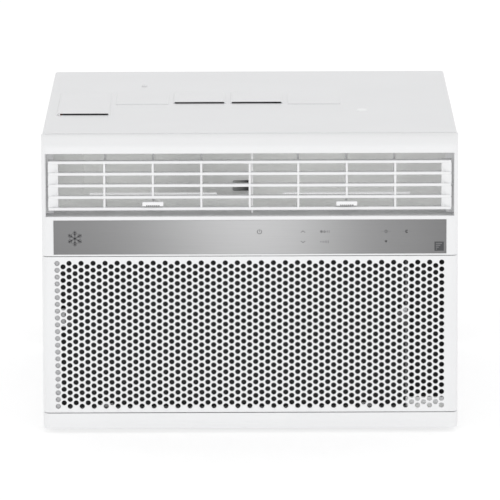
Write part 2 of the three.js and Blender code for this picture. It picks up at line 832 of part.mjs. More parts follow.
cabinet();
basePan();
rearGuard();
frontPanel();
grilleDoor();
airFilter();
louvreFrame();
for (const side of [-1, 1]) {
  for (let row = 0; row < vanesPerGroup; row += 1) vane(side, row);
  tieBar(side);
}
vaneRails();
outletDuct();
coil("evaporator_coil", evaporatorFront, evaporatorDepth, coilTop);
coil("condenser_coil", depth - condenserRear - condenserDepth, condenserDepth, condenserTop);
dripTray();
compressorSet();
bulkhead();
blowerScroll();
blowerWheel();
motorSet();
condenserFan();
electrics();

export default model;
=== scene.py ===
# %% [markdown]
# # A window air conditioner
#
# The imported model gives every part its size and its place. This script gives each part the surface that
# a person sees: the perforated door, the louvres, the pressed steel cabinet, the coils behind the guard.
# Every position below is read from the frame, so a part stays where the design put it.

# %% Load the frame
import json
import math

import bmesh
import bpy
from mathutils import Matrix, Vector


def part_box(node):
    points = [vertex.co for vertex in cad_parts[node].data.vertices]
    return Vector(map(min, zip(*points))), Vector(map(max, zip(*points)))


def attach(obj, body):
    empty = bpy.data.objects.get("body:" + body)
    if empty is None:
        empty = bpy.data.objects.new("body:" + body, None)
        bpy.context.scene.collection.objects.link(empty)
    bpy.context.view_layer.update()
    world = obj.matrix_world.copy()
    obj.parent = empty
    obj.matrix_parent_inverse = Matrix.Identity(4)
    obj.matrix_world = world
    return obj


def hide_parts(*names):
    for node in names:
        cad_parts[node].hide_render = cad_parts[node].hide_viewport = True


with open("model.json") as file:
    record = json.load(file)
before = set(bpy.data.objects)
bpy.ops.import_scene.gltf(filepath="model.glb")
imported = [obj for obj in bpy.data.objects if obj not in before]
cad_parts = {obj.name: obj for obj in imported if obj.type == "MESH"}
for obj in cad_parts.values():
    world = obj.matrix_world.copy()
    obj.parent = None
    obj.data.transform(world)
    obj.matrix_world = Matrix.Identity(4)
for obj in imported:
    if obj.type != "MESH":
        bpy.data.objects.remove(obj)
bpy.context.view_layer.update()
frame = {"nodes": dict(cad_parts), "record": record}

MM = 0.001
scene = bpy.context.scene

# %% [markdown]
# ## Camera
#
# The unit is seen from straight in front and a little above, from far away through a long lens, so the
# top shows as a shallow band and the sides hardly show at all. The camera is turned a fifth of a degree
# about its own view line, so the unit's right side stands a trace higher than its left.

# %% Camera
SENSOR = 36.0
LENS = 418.7
CAMERA_PLACE = Vector((0.0, -7.140, 1.4535))
LOOK_DOWN = math.radians(10.15)
CAMERA_ROLL = math.radians(-0.2)
VIEW_DEPTH = 60.0

# Whites stay white: colours are shown as they are, with no film curve
scene.view_settings.view_transform = "Standard"

camera_data = bpy.data.cameras.new("camera")
camera_data.lens = LENS
camera_data.sensor_width = SENSOR
camera_data.clip_end = VIEW_DEPTH
camera = bpy.data.objects.new("camera", camera_data)
scene.collection.objects.link(camera)
turn = Matrix.Rotation(math.pi / 2 - LOOK_DOWN, 4, "X") @ Matrix.Rotation(CAMERA_ROLL, 4, "Z")
camera.matrix_world = Matrix.Translation(CAMERA_PLACE) @ turn
scene.camera = camera
print("camera at", tuple(round(value, 3) for value in CAMERA_PLACE), "lens", LENS)

# %% [markdown]
# ## Studio
#
# A white product needs light from all round, with the front a little brighter than the top. A bright
# even world does most of it. One wide lamp in front lifts the face and reaches into the outlet, and a
# weak one on the right keeps that side crisp. The floor is plain and pale, and it glows a little, as a
# lit tabletop does, so the shadow under the unit stays soft.

# %% Floor and lights
FLOOR_SIZE = 40.0
WORLD_COLOUR = (1.0, 1.0, 1.0, 1.0)
WORLD_STRENGTH = 1.0
FLOOR_TONE = 0.5
FLOOR_GLOW = 0.52
FLOOR_ROUGHNESS = 0.9
# Name: place, the point it faces, size in metres, power in watts
LAMPS = {
    "front_lamp": ((-0.5, -3.2, 1.1), (0, 0, 0.25), 2.0, 9),
    "side_lamp": ((2.6, -1.6, 1.3), (0, 0, 0.2), 1.6, 2),
}


def area_lamp(name, place, target, size, power):
    """A square soft lamp that faces its target."""
    data = bpy.data.lights.new(name, "AREA")
    data.shape = "SQUARE"
    data.size = size
    data.energy = power
    lamp = bpy.data.objects.new(name, data)
    scene.collection.objects.link(lamp)
    aim = (Vector(target) - Vector(place)).to_track_quat("-Z", "Y")
    lamp.matrix_world = Matrix.Translation(place) @ aim.to_matrix().to_4x4()


world = bpy.data.worlds.new("studio")
world.use_nodes = True
scene.world = world
background = world.node_tree.nodes["Background"]
background.inputs["Color"].default_value = WORLD_COLOUR
background.inputs["Strength"].default_value = WORLD_STRENGTH
for name, (place, target, size, power) in LAMPS.items():
    area_lamp(name, place, target, size, power)

floor_mesh = bpy.data.meshes.new("floor")
half_floor = FLOOR_SIZE / 2
floor_mesh.from_pydata(
    [(-half_floor, -half_floor, 0), (half_floor, -half_floor, 0),
     (half_floor, half_floor, 0), (-half_floor, half_floor, 0)], [], [(0, 1, 2, 3)])
floor = bpy.data.objects.new("floor", floor_mesh)
scene.collection.objects.link(floor)
floor_finish = bpy.data.materials.new("pale_floor")
floor_finish.use_nodes = True
floor_shader = floor_finish.node_tree.nodes["Principled BSDF"]
floor_shader.inputs["Base Color"].default_value = (FLOOR_TONE, FLOOR_TONE, FLOOR_TONE, 1)
floor_shader.inputs["Emission Color"].default_value = (1, 1, 1, 1)
floor_shader.inputs["Emission Strength"].default_value = FLOOR_GLOW
floor_shader.inputs["Roughness"].default_value = FLOOR_ROUGHNESS
floor_mesh.materials.append(floor_finish)

# %% [markdown]
# ## Finishes
#
# A moulded or painted surface is never one flat number. Its colour drifts a little from place to place,
# its gloss varies, and a fine grain breaks up the highlights. One small builder makes all of these from
# noise on the object's own coordinates, in metres, so the grain has a real size.

# %% A builder for plain finishes
GLOSS_DRIFT = 0.12


def blank_finish(name):
    """A new material with an empty principled shader, and the parts needed to wire it."""
    finish = bpy.data.materials.new(name)
    finish.use_nodes = True
    nodes = finish.node_tree.nodes
    return finish, nodes, finish.node_tree.links, nodes["Principled BSDF"]


def add_noise(nodes, links, size, detail=3.0, stretch=(1, 1, 1)):
    """Noise whose blobs are about `size` metres across, stretched along an axis if asked."""
    place = nodes.new("ShaderNodeTexCoord")
    mapping = nodes.new("ShaderNodeMapping")
    mapping.inputs["Scale"].default_value = [part / size for part in stretch]
    noise = nodes.new("ShaderNodeTexNoise")
    noise.inputs["Scale"].default_value = 1.0
    noise.inputs["Detail"].default_value = detail
    links.new(place.outputs["Object"], mapping.inputs["Vector"])
    links.new(mapping.outputs["Vector"], noise.inputs["Vector"])
    return noise


def add_range(nodes, links, source, low, high):
    """Turns a 0 to 1 value into low to high."""
    span = nodes.new("ShaderNodeMapRange")
    span.inputs["To Min"].default_value = low
    span.inputs["To Max"].default_value = high
    links.new(source, span.inputs["Value"])
    return span.outputs["Result"]


def add_run(nodes, links, first, last):
    """A value that runs from 0 to 1 along X, between two places in metres."""
    place = nodes.new("ShaderNodeTexCoord")
    split = nodes.new("ShaderNodeSeparateXYZ")
    links.new(place.outputs["Object"], split.inputs["Vector"])
    span = nodes.new("ShaderNodeMapRange")
    span.inputs["From Min"].default_value = first
    span.inputs["From Max"].default_value = last
    links.new(split.outputs["X"], span.inputs["Value"])
    return span.outputs["Result"]


def add_ramp(nodes, links, source, stops):
    """Turns a 0 to 1 value into colours, from (position, colour) stops."""
    ramp = nodes.new("ShaderNodeValToRGB")
    elements = ramp.color_ramp.elements
    while len(elements) < len(stops):
        elements.new(0.5)
    for element, (position, colour) in zip(elements, stops):
        element.position = position
        element.color = [*colour, 1]
    links.new(source, ramp.inputs["Fac"])
    return ramp


def add_bump(nodes, links, shader, height, depth):
    """A bump `depth` metres deep from a height value."""
    bump = nodes.new("ShaderNodeBump")
    bump.inputs["Strength"].default_value = 1.0
    bump.inputs["Distance"].default_value = depth
    links.new(height, bump.inputs["Height"])
    links.new(bump.outputs["Normal"], shader.inputs["Normal"])


def plain_finish(name, colour, roughness, metallic=0.0, grain=0.0006, depth=0.00001,
                 drift=0.03, patch=0.08):
    """A surface of one material: colour drifts over `patch`, a grain of size `grain` gives the bump."""
    finish, nodes, links, shader = blank_finish(name)
    patches = add_noise(nodes, links, patch, 2.0)
    ramp = add_ramp(nodes, links, patches.outputs["Fac"], [
        (0.3, [part * (1 - drift) for part in colour]),
        (0.7, [min(1, part * (1 + drift)) for part in colour])])
    links.new(ramp.outputs["Color"], shader.inputs["Base Color"])
    fine = add_noise(nodes, links, grain)
    spread = GLOSS_DRIFT * roughness
    rough = add_range(nodes, links, fine.outputs["Fac"], roughness - spread, roughness + spread)
    links.new(rough, shader.inputs["Roughness"])
    add_bump(nodes, links, shader, fine.outputs["Fac"], depth)
    shader.inputs["Metallic"].default_value = metallic
    return finish


# %% [markdown]
# The table gives each finish its colour, its roughness, and whatever differs from a plain moulded part.
# A few finishes glow a little, as painted light: white parts deep in the outlet and behind the door stay
# readable in the shade there, and the foam glows so that it never looks quite dark. The pipe seal is one
# piece of rubber whose colour carries painted shade: it gets darker towards +X, where no light reaches it.

# %% Table of finishes
WHITE = (0.79, 0.793, 0.80)
PLAIN_FINISHES = {
    "white_plastic": (WHITE, 0.38, {"grain": 0.0009, "drift": 0.006}),
    "painted_steel": ((0.715, 0.718, 0.727), 0.42, {"grain": 0.0014, "depth": 0.00002, "drift": 0.008}),
    "dark_plastic": ((0.022, 0.022, 0.024), 0.5, {"drift": 0.15}),
    "foam": ((0.93, 0.93, 0.92), 0.9, {"grain": 0.004, "depth": 0.0002, "drift": 0.05}),
    "aluminium": ((0.78, 0.79, 0.81), 0.4, {"metallic": 0.5, "drift": 0.05, "patch": 0.03}),
    "galvanised": ((0.48, 0.49, 0.50), 0.42, {"metallic": 0.85, "grain": 0.012, "drift": 0.12,
                                              "patch": 0.02}),
    "copper": ((0.70, 0.30, 0.16), 0.3, {"metallic": 0.95, "drift": 0.15, "patch": 0.02}),
    "rubber": ((0.016, 0.016, 0.016), 0.8, {"drift": 0.2, "depth": 0.00004}),
    "board_green": ((0.02, 0.13, 0.05), 0.4, {"drift": 0.1, "patch": 0.01}),
    # Mid grey for the filter's white frame and the clip plates: painted shade behind the door
    "filter_mesh": ((0.56, 0.56, 0.57), 0.6, {"drift": 0.02}),
    "black_enamel": ((0.014, 0.014, 0.016), 0.3, {"drift": 0.2, "depth": 0.00003}),
    "silver_overlay": ((0.5, 0.5, 0.5), 0.3, {"metallic": 0.8}),
    # Painted shade: darker grey for the filter's right edge, deeper in shade
    "edge_shade_grey": ((0.22, 0.22, 0.225), 0.6, {"drift": 0.1}),
    # Painted shade: white clips and tab ribs that lie in shade, coloured dark grey
    "clip_shade_grey": ((0.16, 0.16, 0.162), 0.6, {"drift": 0.1}),
    # Copies of white plastic that glow a little: painted light on parts deep in the outlet and behind the
    # door
    "outlet_white": (WHITE, 0.5, {"grain": 0.0009, "drift": 0.006}),
    "bar_white": (WHITE, 0.5, {"grain": 0.0009, "drift": 0.006}),
    "vane_white": (WHITE, 0.5, {"grain": 0.0009, "drift": 0.006}),
}
# Name: strength and colour of the glow, which is painted light
GLOWS = {
    "outlet_white": (0.14, (1, 1, 1, 1)),
    "bar_white": (0.3, (1, 1, 1, 1)),
    "vane_white": (0.05, (1, 1, 1, 1)),
    # Painted light: the foam glows a little so that the duct never looks quite dark
    "foam": (0.08, (0.98, 1.0, 0.99, 1)),
}
# Painted shade on the pipe seal runs from light to dark between these two places along X
SEAL_LIGHT_X = -0.022
SEAL_DARK_X = -0.002


def seal_finish():
    """Rubber with painted shade: darker towards +X."""
    finish, nodes, links, shader = blank_finish("seal_shade_grey")
    along = add_run(nodes, links, SEAL_LIGHT_X, SEAL_DARK_X)
    ramp = add_ramp(nodes, links, along, [(0, (0.62, 0.62, 0.62)), (1, (0.06, 0.06, 0.061))])
    links.new(ramp.outputs["Color"], shader.inputs["Base Color"])
    shader.inputs["Roughness"].default_value = 0.75
    return finish


FINISHES = {name: plain_finish(name, colour, roughness, **more)
            for name, (colour, roughness, more) in PLAIN_FINISHES.items()}
FINISHES["seal_shade_grey"] = seal_finish()
for name, (strength, colour) in GLOWS.items():
    glowing = FINISHES[name].node_tree.nodes["Principled BSDF"]
    glowing.inputs["Emission Color"].default_value = colour
    glowing.inputs["Emission Strength"].default_value = strength
print(len(FINISHES), "finishes:", ", ".join(FINISHES))

# %% [markdown]
# ## Softened parts
#
# Real edges are never knife sharp: sheet metal is bent, plastic is moulded with a small radius. For the
# parts whose CAD shape is already right, a copy gets its loose triangles merged, its flat faces joined and
# its edges rounded. The copy then stands in for the CAD part.

# %% Rounded copies of CAD parts
record = frame["record"]
SLOT_OF = {part["node"]: part["material_slot"] for part in record["subparts"]}
BODY_OF = {node: body for body, nodes in record["behaviour"]["bodies"].items() for node in nodes}
SHARP = math.radians(32)
FLAT = math.radians(1)
SAME_POINT = 1e-6
EDGE_SEGMENTS = 2
VANE_ROUND = 0.35


def place_mesh(name, mesh, node, finish=None, stands_for=True):
    """Links a mesh made in place, and ties it to the body, slot and finish of a CAD node."""
    piece = bpy.data.objects.new(name, mesh)
    scene.collection.objects.link(piece)
    mesh.materials.clear()
    mesh.materials.append(FINISHES[finish or SLOT_OF[node]])
    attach(piece, BODY_OF[node])
    if stands_for:
        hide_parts(node)
    return piece


def baked_mesh(piece):
    """Takes a helper object away and returns its mesh with the modifiers applied."""
    graph = bpy.context.evaluated_depsgraph_get()
    mesh = bpy.data.meshes.new_from_object(piece.evaluated_get(graph))
    bpy.data.objects.remove(piece)
    return mesh


def plain_mesh(form):
    """A mesh from a bmesh, kept flat and as it is."""
    mesh = bpy.data.meshes.new("shape")
    form.to_mesh(mesh)
    form.free()
    return mesh


def shaded(mesh):
    """Gives a mesh smooth shading between its sharp edges."""
    mesh.shade_smooth()
    mesh.set_sharp_from_angle(angle=SHARP)
    return mesh


def clean_copy(node):
    """A helper object with a CAD node's mesh, its loose triangles merged and its flat faces joined."""
    form = bmesh.new()
    form.from_mesh(frame["nodes"][node].data)
    bmesh.ops.remove_doubles(form, verts=form.verts, dist=SAME_POINT)
    bmesh.ops.dissolve_limit(form, angle_limit=FLAT, verts=form.verts, edges=form.edges)
    piece = bpy.data.objects.new("clean_copy", plain_mesh(form))
    scene.collection.objects.link(piece)
    return piece


def softened(node, radius, finish=None):
    """A copy of a CAD node with its edges rounded by `radius` millimetres."""
    piece = clean_copy(node)
    bevel = piece.modifiers.new("edge", "BEVEL")
    bevel.width = radius * MM
    bevel.segments = EDGE_SEGMENTS
    bevel.limit_method = "ANGLE"
    bevel.angle_limit = SHARP
    bevel.use_clamp_overlap = True
    place_mesh(node + "_shape", shaded(baked_mesh(piece)), node, finish)


# Radius in millimetres for each part
ROUND_BY = {
    "front_panel": 0.9, "outlet_duct": 2.0, "drip_tray": 1.0, "blower_scroll": 0.5,
    "fan_motor": 1.6, "compressor": 1.0, "fan_shroud": 0.6,
    "pivot_bracket_left": 1.2, "pivot_bracket_right": 1.2,
    "bulkhead": 0.4, "motor_bracket": 0.5, "base_pan": 0.4,
    "control_box": 1.0, "run_capacitor": 1.5, "accumulator": 4.0, "motor_shaft": 0.5,
    "cord_gland": 0.5, "drain_plug": 0.6, "sensor_clip": 0.8, "side_baffle": 0.4, "centre_post": 0.4,
    "vane_rail_top": 0.4, "vane_rail_bottom": 0.4,
    "filter_clip_left": 0.5, "filter_clip_right": 0.5,
    "control_board": 0.2, "tie_bar_left": 0.3, "tie_bar_right": 0.3,
    "compressor_foot_1": 1.2, "compressor_foot_2": 1.2, "compressor_foot_3": 1.2,
}
# Glowing whites paint light on the brackets, tie bars, centre post and vanes deep in the outlet
FINISH_BY = {
    "pivot_bracket_left": "outlet_white", "pivot_bracket_right": "outlet_white",
    "tie_bar_left": "bar_white", "tie_bar_right": "bar_white", "centre_post": "bar_white",
    # The clips get a dark grey for the shade they lie in: painted shade
    "filter_clip_left": "clip_shade_grey", "filter_clip_right": "clip_shade_grey",
}
for side in ("left", "right"):
    for number in range(1, 4):
        vane = f"vane_{side}_{number}"
        ROUND_BY[vane] = VANE_ROUND
        FINISH_BY[vane] = "vane_white"
# The pipe seal gets the finish with painted shade
ROUND_BY["wire_grommet"] = 2.5
FINISH_BY["wire_grommet"] = "seal_shade_grey"
for node, radius in ROUND_BY.items():
    softened(node, radius, FINISH_BY.get(node))
print(len(ROUND_BY), "parts with rounded edges")

# %% [markdown]
# ## Patterns by Geometry Nodes
#
# Fins, slats, holes and wires all repeat on a line or on a grid. Copying them in Python would work, but
# a node tree says the rule itself: how many, how far apart, of what. The first tree lays copies of one
# piece along two directions. The second lays them round an axis.

# %% Trees that repeat a piece
def new_tree(name, sockets):
    """A tree with named inputs, from {name: (socket type, default)}."""
    tree = bpy.data.node_groups.new(name, "GeometryNodeTree")
    tree.interface.new_socket("Geometry", in_out="OUTPUT", socket_type="NodeSocketGeometry")
    for label, (kind, value) in sockets.items():
        socket = tree.interface.new_socket(
            label, in_out="INPUT", socket_type="NodeSocket" + kind)
        if value is not None:
            socket.default_value = value
    return tree, tree.nodes.new("NodeGroupInput"), tree.nodes.new("NodeGroupOutput")


def node(tree, kind, links=(), **settings):
    """Adds a node, sets its properties and plugs sockets into its inputs by name."""
    made = tree.nodes.new(kind)
    for key, value in settings.items():
        setattr(made, key, value)
    for label, source in links:
        target = made.inputs[label]
        if hasattr(source, "node"):
            tree.links.new(source, target)
        else:
            target.default_value = source
    return made


def line_of_points(tree, count, start, step):
    """Points in a straight line."""
    return node(tree, "GeometryNodeMeshLine", [
        ("Count", count), ("Start Location", start), ("Offset", step)]).outputs["Mesh"]


def close_tree(tree, geometry, finish, output):
    """Realizes instances, gives them their finish and ends the tree."""
    real = node(tree, "GeometryNodeRealizeInstances", [("Geometry", geometry)])
    painted = node(tree, "GeometryNodeSetMaterial", [
        ("Geometry", real.outputs["Geometry"]), ("Material", finish)])
    tree.links.new(painted.outputs["Geometry"], output.inputs["Geometry"])


def copies_tree():
    """Copies of a piece along two directions."""
    tree, given, output = new_tree("copies_on_a_grid", {
        "Piece": ("Object", None), "Finish": ("Material", None),
        "Start": ("Vector", (0, 0, 0)),
        "Count A": ("Int", 2), "Step A": ("Vector", (0, 0, 0)),
        "Count B": ("Int", 1), "Step B": ("Vector", (0, 0, 0))})
    put = given.outputs
    row = line_of_points(tree, put["Count A"], put["Start"], put["Step A"])
    column = line_of_points(tree, put["Count B"], (0, 0, 0), put["Step B"])
    places = node(tree, "GeometryNodeInstanceOnPoints", [
        ("Points", column), ("Instance", row)])
    points = node(tree, "GeometryNodeRealizeInstances", [
        ("Geometry", places.outputs["Instances"])])
    source = node(tree, "GeometryNodeObjectInfo", [("Object", put["Piece"])])
    copies = node(tree, "GeometryNodeInstanceOnPoints", [
        ("Points", points.outputs["Geometry"]), ("Instance", source.outputs["Geometry"])])
    close_tree(tree, copies.outputs["Instances"], put["Finish"], output)
    return tree


def ring_tree():
    """Copies of a piece turned round the Y axis through a centre."""
    tree, given, output = new_tree("copies_round_an_axis", {
        "Piece": ("Object", None), "Finish": ("Material", None),
        "Centre": ("Vector", (0, 0, 0)), "Count": ("Int", 6)})
    put = given.outputs
    points = line_of_points(tree, put["Count"], put["Centre"], (0, 0, 0))
    index = node(tree, "GeometryNodeInputIndex")
    share = node(tree, "ShaderNodeMath", operation="DIVIDE")
    tree.links.new(index.outputs["Index"], share.inputs[0])
    tree.links.new(put["Count"], share.inputs[1])
    angle = node(tree, "ShaderNodeMath", operation="MULTIPLY")
    tree.links.new(share.outputs["Value"], angle.inputs[0])
    angle.inputs[1].default_value = 2 * math.pi
    about = node(tree, "ShaderNodeCombineXYZ", [("Y", angle.outputs["Value"])])
    source = node(tree, "GeometryNodeObjectInfo", [("Object", put["Piece"])])
    copies = node(tree, "GeometryNodeInstanceOnPoints", [
        ("Points", points), ("Instance", source.outputs["Geometry"]),
        ("Rotation", about.outputs["Vector"])])
    close_tree(tree, copies.outputs["Instances"], put["Finish"], output)
    return tree


def grow(tree, inputs):
    """Runs a tree on an empty host and returns a plain mesh. A mesh given as an input is stamped."""
    host = bpy.data.objects.new("host", bpy.data.meshes.new("host"))
    scene.collection.objects.link(host)
    modifier = host.modifiers.new("pattern", "NODES")
    modifier.node_group = tree
    stamps = []
    for socket in tree.interface.items_tree:
        if socket.in_out == "INPUT" and socket.name in inputs:
            value = inputs[socket.name]
            if isinstance(value, bpy.types.Mesh):
                value = bpy.data.objects.new("stamp", value)
                scene.collection.objects.link(value)
                stamps.append(value)
            modifier[socket.identifier] = value
    mesh = baked_mesh(host)
    for stamp in stamps:
        bpy.data.objects.remove(stamp)
    return mesh


def copies(piece, finish, start, count_a=1, step_a=(0, 0, 0), count_b=1, step_b=(0, 0, 0)):
    """Copies of a mesh on a line or a grid, as one mesh."""
    return grow(COPIES, {
        "Piece": piece, "Finish": FINISHES[finish], "Start": start,
        "Count A": count_a, "Step A": step_a, "Count B": count_b, "Step B": step_b})


COPIES = copies_tree()
RING = ring_tree()
print("trees:", [tree.name for tree in bpy.data.node_groups])

# %% [markdown]
# ## Small solids
#
# Many details are short bars, plates and rods. They are made as meshes in place, from a few corner
# values, with their edges rounded in the same step.

# %% Bars, outlines and rods
def mesh_of(form):
    """Turns a bmesh into a mesh with outward faces and smooth shading between sharp edges."""
    bmesh.ops.recalc_face_normals(form, faces=form.faces)
    return shaded(plain_mesh(form))


def shift(form, offset):
    """Moves a bmesh, in metres."""
    bmesh.ops.translate(form, vec=offset, verts=form.verts)


def turn_about(form, axis, angle=math.pi / 2):
    """Turns a bmesh about an axis through the origin."""
    bmesh.ops.rotate(form, matrix=Matrix.Rotation(angle, 3, axis), verts=form.verts)


def bridge(form, near, far):
    """Closes the gap between two loops of points with a band of faces."""
    count = len(near)
    for k in range(count):
        after = (k + 1) % count
        form.faces.new((near[k], near[after], far[after], far[k]))


def round_edges(form, edges, radius, segments=2):
    """Rounds edges by a radius in metres."""
    bmesh.ops.bevel(form, geom=edges, offset=radius, segments=segments, affect="EDGES",
                    profile=0.5, clamp_overlap=True)


def bar(low, high, radius=0.0, segments=2):
    """A block between two corners, in metres, with all edges rounded."""
    form = bmesh.new()
    bmesh.ops.create_cube(form, size=1.0)
    size = [b - a for a, b in zip(low, high)]
    middle = [(a + b) / 2 for a, b in zip(low, high)]
    bmesh.ops.scale(form, vec=size, verts=form.verts)
    shift(form, middle)
    if radius:
        round_edges(form, form.edges[:], radius, segments)
    return form


def rod(radius, length, far_radius=None, sides=24):
    """A round rod along Z about the origin, with a second radius at its upper end if asked."""
    form = bmesh.new()
    bmesh.ops.create_cone(form, cap_ends=True, segments=sides, radius1=radius,
                          radius2=far_radius or radius, depth=length)
    return form


def prism(outline, axis, start, end):
    """A closed solid from an outline carried along X, Y or Z."""
    form = bmesh.new()
    order = {"x": (2, 0, 1), "y": (0, 2, 1), "z": (0, 1, 2)}[axis]

    def corner(point, along):
        flat = (point[0], point[1], along)
        return [flat[order[0]], flat[order[1]], flat[order[2]]]

    first = [form.verts.new(corner(point, start)) for point in outline]
    last = [form.verts.new(corner(point, end)) for point in outline]
    form.faces.new(first)
    form.faces.new(last)
    bridge(form, first, last)
    bmesh.ops.recalc_face_normals(form, faces=form.faces)
    return form


def merged(*forms):
    """Several bmeshes as one."""
    whole = bmesh.new()
    for form in forms:
        mesh = plain_mesh(form)
        whole.from_mesh(mesh)
        bpy.data.meshes.remove(mesh)
    return whole


def joined(name, *meshes):
    """Several meshes as one."""
    whole = bmesh.new()
    for mesh in meshes:
        whole.from_mesh(mesh)
    result = bpy.data.meshes.new(name)
    whole.to_mesh(result)
    whole.free()
    result.set_sharp_from_angle(angle=SHARP)
    return result


def carved(mesh, *cutters):
    """A mesh with closed cutters taken out of it."""
    host = bpy.data.objects.new("host", mesh)
    scene.collection.objects.link(host)
    tools = []
    for cutter in cutters:
        tool = bpy.data.objects.new("cutter", cutter)
        scene.collection.objects.link(tool)
        tools.append(tool)
        cut = host.modifiers.new("cut", "BOOLEAN")
        cut.operation = "DIFFERENCE"
        cut.solver = "EXACT"
        cut.object = tool
    result = baked_mesh(host)
    for tool in tools:
        bpy.data.objects.remove(tool)
    return result


# %% [markdown]
# ## Perforated door
#
# The door is punched with 1398 round holes in staggered columns. One small tile holds one hole with
# its rounded lip, and it tiles exactly: neighbouring columns sit half a hole apart, so each tile has
# an extra point halfway up its sides. Short blank tiles close the ends of the staggered columns.

# %% The hole pattern
HOLE_COLUMNS = 65
HOLE_ROWS = 22
COLUMN_PITCH = 7.216 * MM
ROW_PITCH = 8.333 * MM
HOLE_RADIUS = 3.2 * MM
LIP = 0.15 * MM
HOLE_SIDES = 12
FIELD_SHIFT = -0.8 * MM
DOOR_WALL = 2.5 * MM

door_low, door_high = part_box("grille_door")
field_centre = Vector((FIELD_SHIFT, door_low.y, (door_low.z + door_high.z) / 2))
field_width = HOLE_COLUMNS * COLUMN_PITCH
field_height = HOLE_ROWS * ROW_PITCH


def hole_tile():
    """One hole with a chamfered lip in a rectangular tile, front face at Y = 0."""
    form = bmesh.new()
    half_x, half_z = COLUMN_PITCH / 2, ROW_PITCH / 2
    border = [(half_x, 0), (half_x, half_z), (-half_x, half_z),
              (-half_x, 0), (-half_x, -half_z), (half_x, -half_z)]
    angles = [2 * math.pi * k / HOLE_SIDES for k in range(HOLE_SIDES)]

    def loop(radius, y):
        return [form.verts.new((radius * math.cos(a), y, radius * math.sin(a))) for a in angles]

    outer = {y: [form.verts.new((x, y, z)) for x, z in border] for y in (0, DOOR_WALL)}
    lip = loop(HOLE_RADIUS + LIP, 0)
    throat = loop(HOLE_RADIUS, LIP)
    back = loop(HOLE_RADIUS, DOOR_WALL)
    half = HOLE_SIDES // 2
    for ring, y in ((lip, 0), (back, DOOR_WALL)):
        edge = outer[y]
        form.faces.new([edge[0], edge[1], edge[2], edge[3]] + ring[half::-1])
        form.faces.new([edge[3], edge[4], edge[5], edge[0], ring[0]] + ring[:half - 1:-1])
    bridge(form, lip, throat)
    bridge(form, throat, back)
    form.normal_update()
    front_face = min(form.faces, key=lambda face: face.calc_center_median().y)
    if front_face.normal.y > 0:
        bmesh.ops.reverse_faces(form, faces=form.faces)
    return form


def blank_tile():
    """A short tile with no hole."""
    form = bmesh.new()
    half_x, half_z = COLUMN_PITCH / 2, ROW_PITCH / 4
    for y in (0, DOOR_WALL):
        corners = [(-half_x, y, -half_z), (half_x, y, -half_z),
                   (half_x, y, half_z), (-half_x, y, half_z)]
        face = form.faces.new([form.verts.new(corner) for corner in corners])
        face.normal_update()
        if (face.normal.y < 0) != (y == 0):
            face.normal_flip()
    return form


def perforation_tree():
    """Staggered columns of holes, with blank tiles at the ends of the short columns."""
    tree, given, output = new_tree("perforated_field", {
        "Hole Tile": ("Object", None), "Blank Tile": ("Object", None), "Finish": ("Material", None),
        "Corner": ("Vector", (0, 0, 0)), "Columns": ("Int", 5), "Rows": ("Int", 4),
        "Column Pitch": ("Float", 0.01), "Row Pitch": ("Float", 0.01)})
    put = given.outputs

    def calculate(operation, first, second):
        made = node(tree, "ShaderNodeMath", operation=operation)
        for slot, value in zip(made.inputs, (first, second)):
            if hasattr(value, "node"):
                tree.links.new(value, slot)
            else:
                slot.default_value = value
        return made.outputs["Value"]

    def vector(x=0.0, z=0.0):
        return node(tree, "ShaderNodeCombineXYZ", [("X", x), ("Z", z)]).outputs["Vector"]

    def field(columns, first_x, rows, first_z, step_z, tile):
        across = line_of_points(tree, columns, vector(first_x, first_z),
                                vector(calculate("MULTIPLY", put["Column Pitch"], 2.0)))
        up = line_of_points(tree, rows, put["Corner"], vector(0.0, step_z))
        places = node(tree, "GeometryNodeInstanceOnPoints", [("Points", across), ("Instance", up)])
        points = node(tree, "GeometryNodeRealizeInstances", [
            ("Geometry", places.outputs["Instances"])])
        source = node(tree, "GeometryNodeObjectInfo", [("Object", tile)])
        return node(tree, "GeometryNodeInstanceOnPoints", [
            ("Points", points.outputs["Geometry"]), ("Instance", source.outputs["Geometry"]),
        ]).outputs["Instances"]

    pitch_x, pitch_z = put["Column Pitch"], put["Row Pitch"]
    long_columns = calculate("CEIL", calculate("DIVIDE", put["Columns"], 2.0), 0.0)
    short_columns = calculate("SUBTRACT", put["Columns"], long_columns)
    fewer = calculate("SUBTRACT", put["Rows"], 1.0)
    quarter = calculate("MULTIPLY", pitch_z, 0.25)
    blank_step = calculate("MULTIPLY", pitch_z, calculate("SUBTRACT", put["Rows"], 0.5))
    first_z = calculate("MULTIPLY", pitch_z, 0.5)
    next_x = calculate("MULTIPLY", pitch_x, 1.5)
    near_x = calculate("MULTIPLY", pitch_x, 0.5)
    parts = [
        field(long_columns, near_x, put["Rows"], first_z, pitch_z, put["Hole Tile"]),
        field(short_columns, next_x, fewer, pitch_z, pitch_z, put["Hole Tile"]),
        field(short_columns, next_x, 2, quarter, blank_step, put["Blank Tile"]),
    ]
    together = tree.nodes.new("GeometryNodeJoinGeometry")
    for part in parts:
        tree.links.new(part, together.inputs["Geometry"])
    close_tree(tree, together.outputs["Geometry"], put["Finish"], output)
    return tree


corner = field_centre - Vector((field_width / 2, 0, field_height / 2))
field_mesh = grow(perforation_tree(), {
    "Hole Tile": plain_mesh(hole_tile()), "Blank Tile": plain_mesh(blank_tile()),
    "Finish": FINISHES["white_plastic"], "Corner": corner,
    "Columns": HOLE_COLUMNS, "Rows": HOLE_ROWS,
    "Column Pitch": COLUMN_PITCH, "Row Pitch": ROW_PITCH})
print("perforated field:", len(field_mesh.polygons), "faces")

# %% [markdown]
# The rest of the door is a shell that wraps round both front corners. Its plan is drawn once, outside
# and inside, carried upwards, and the window for the hole pattern is cut out of its face.

# %% Door shell
CORNER_RADIUS = 7.0 * MM
SIDE_DRAFT = 0.05
CORNER_STEPS = 8
RIM_RADIUS = 0.7 * MM
LEVEL = 1e-7


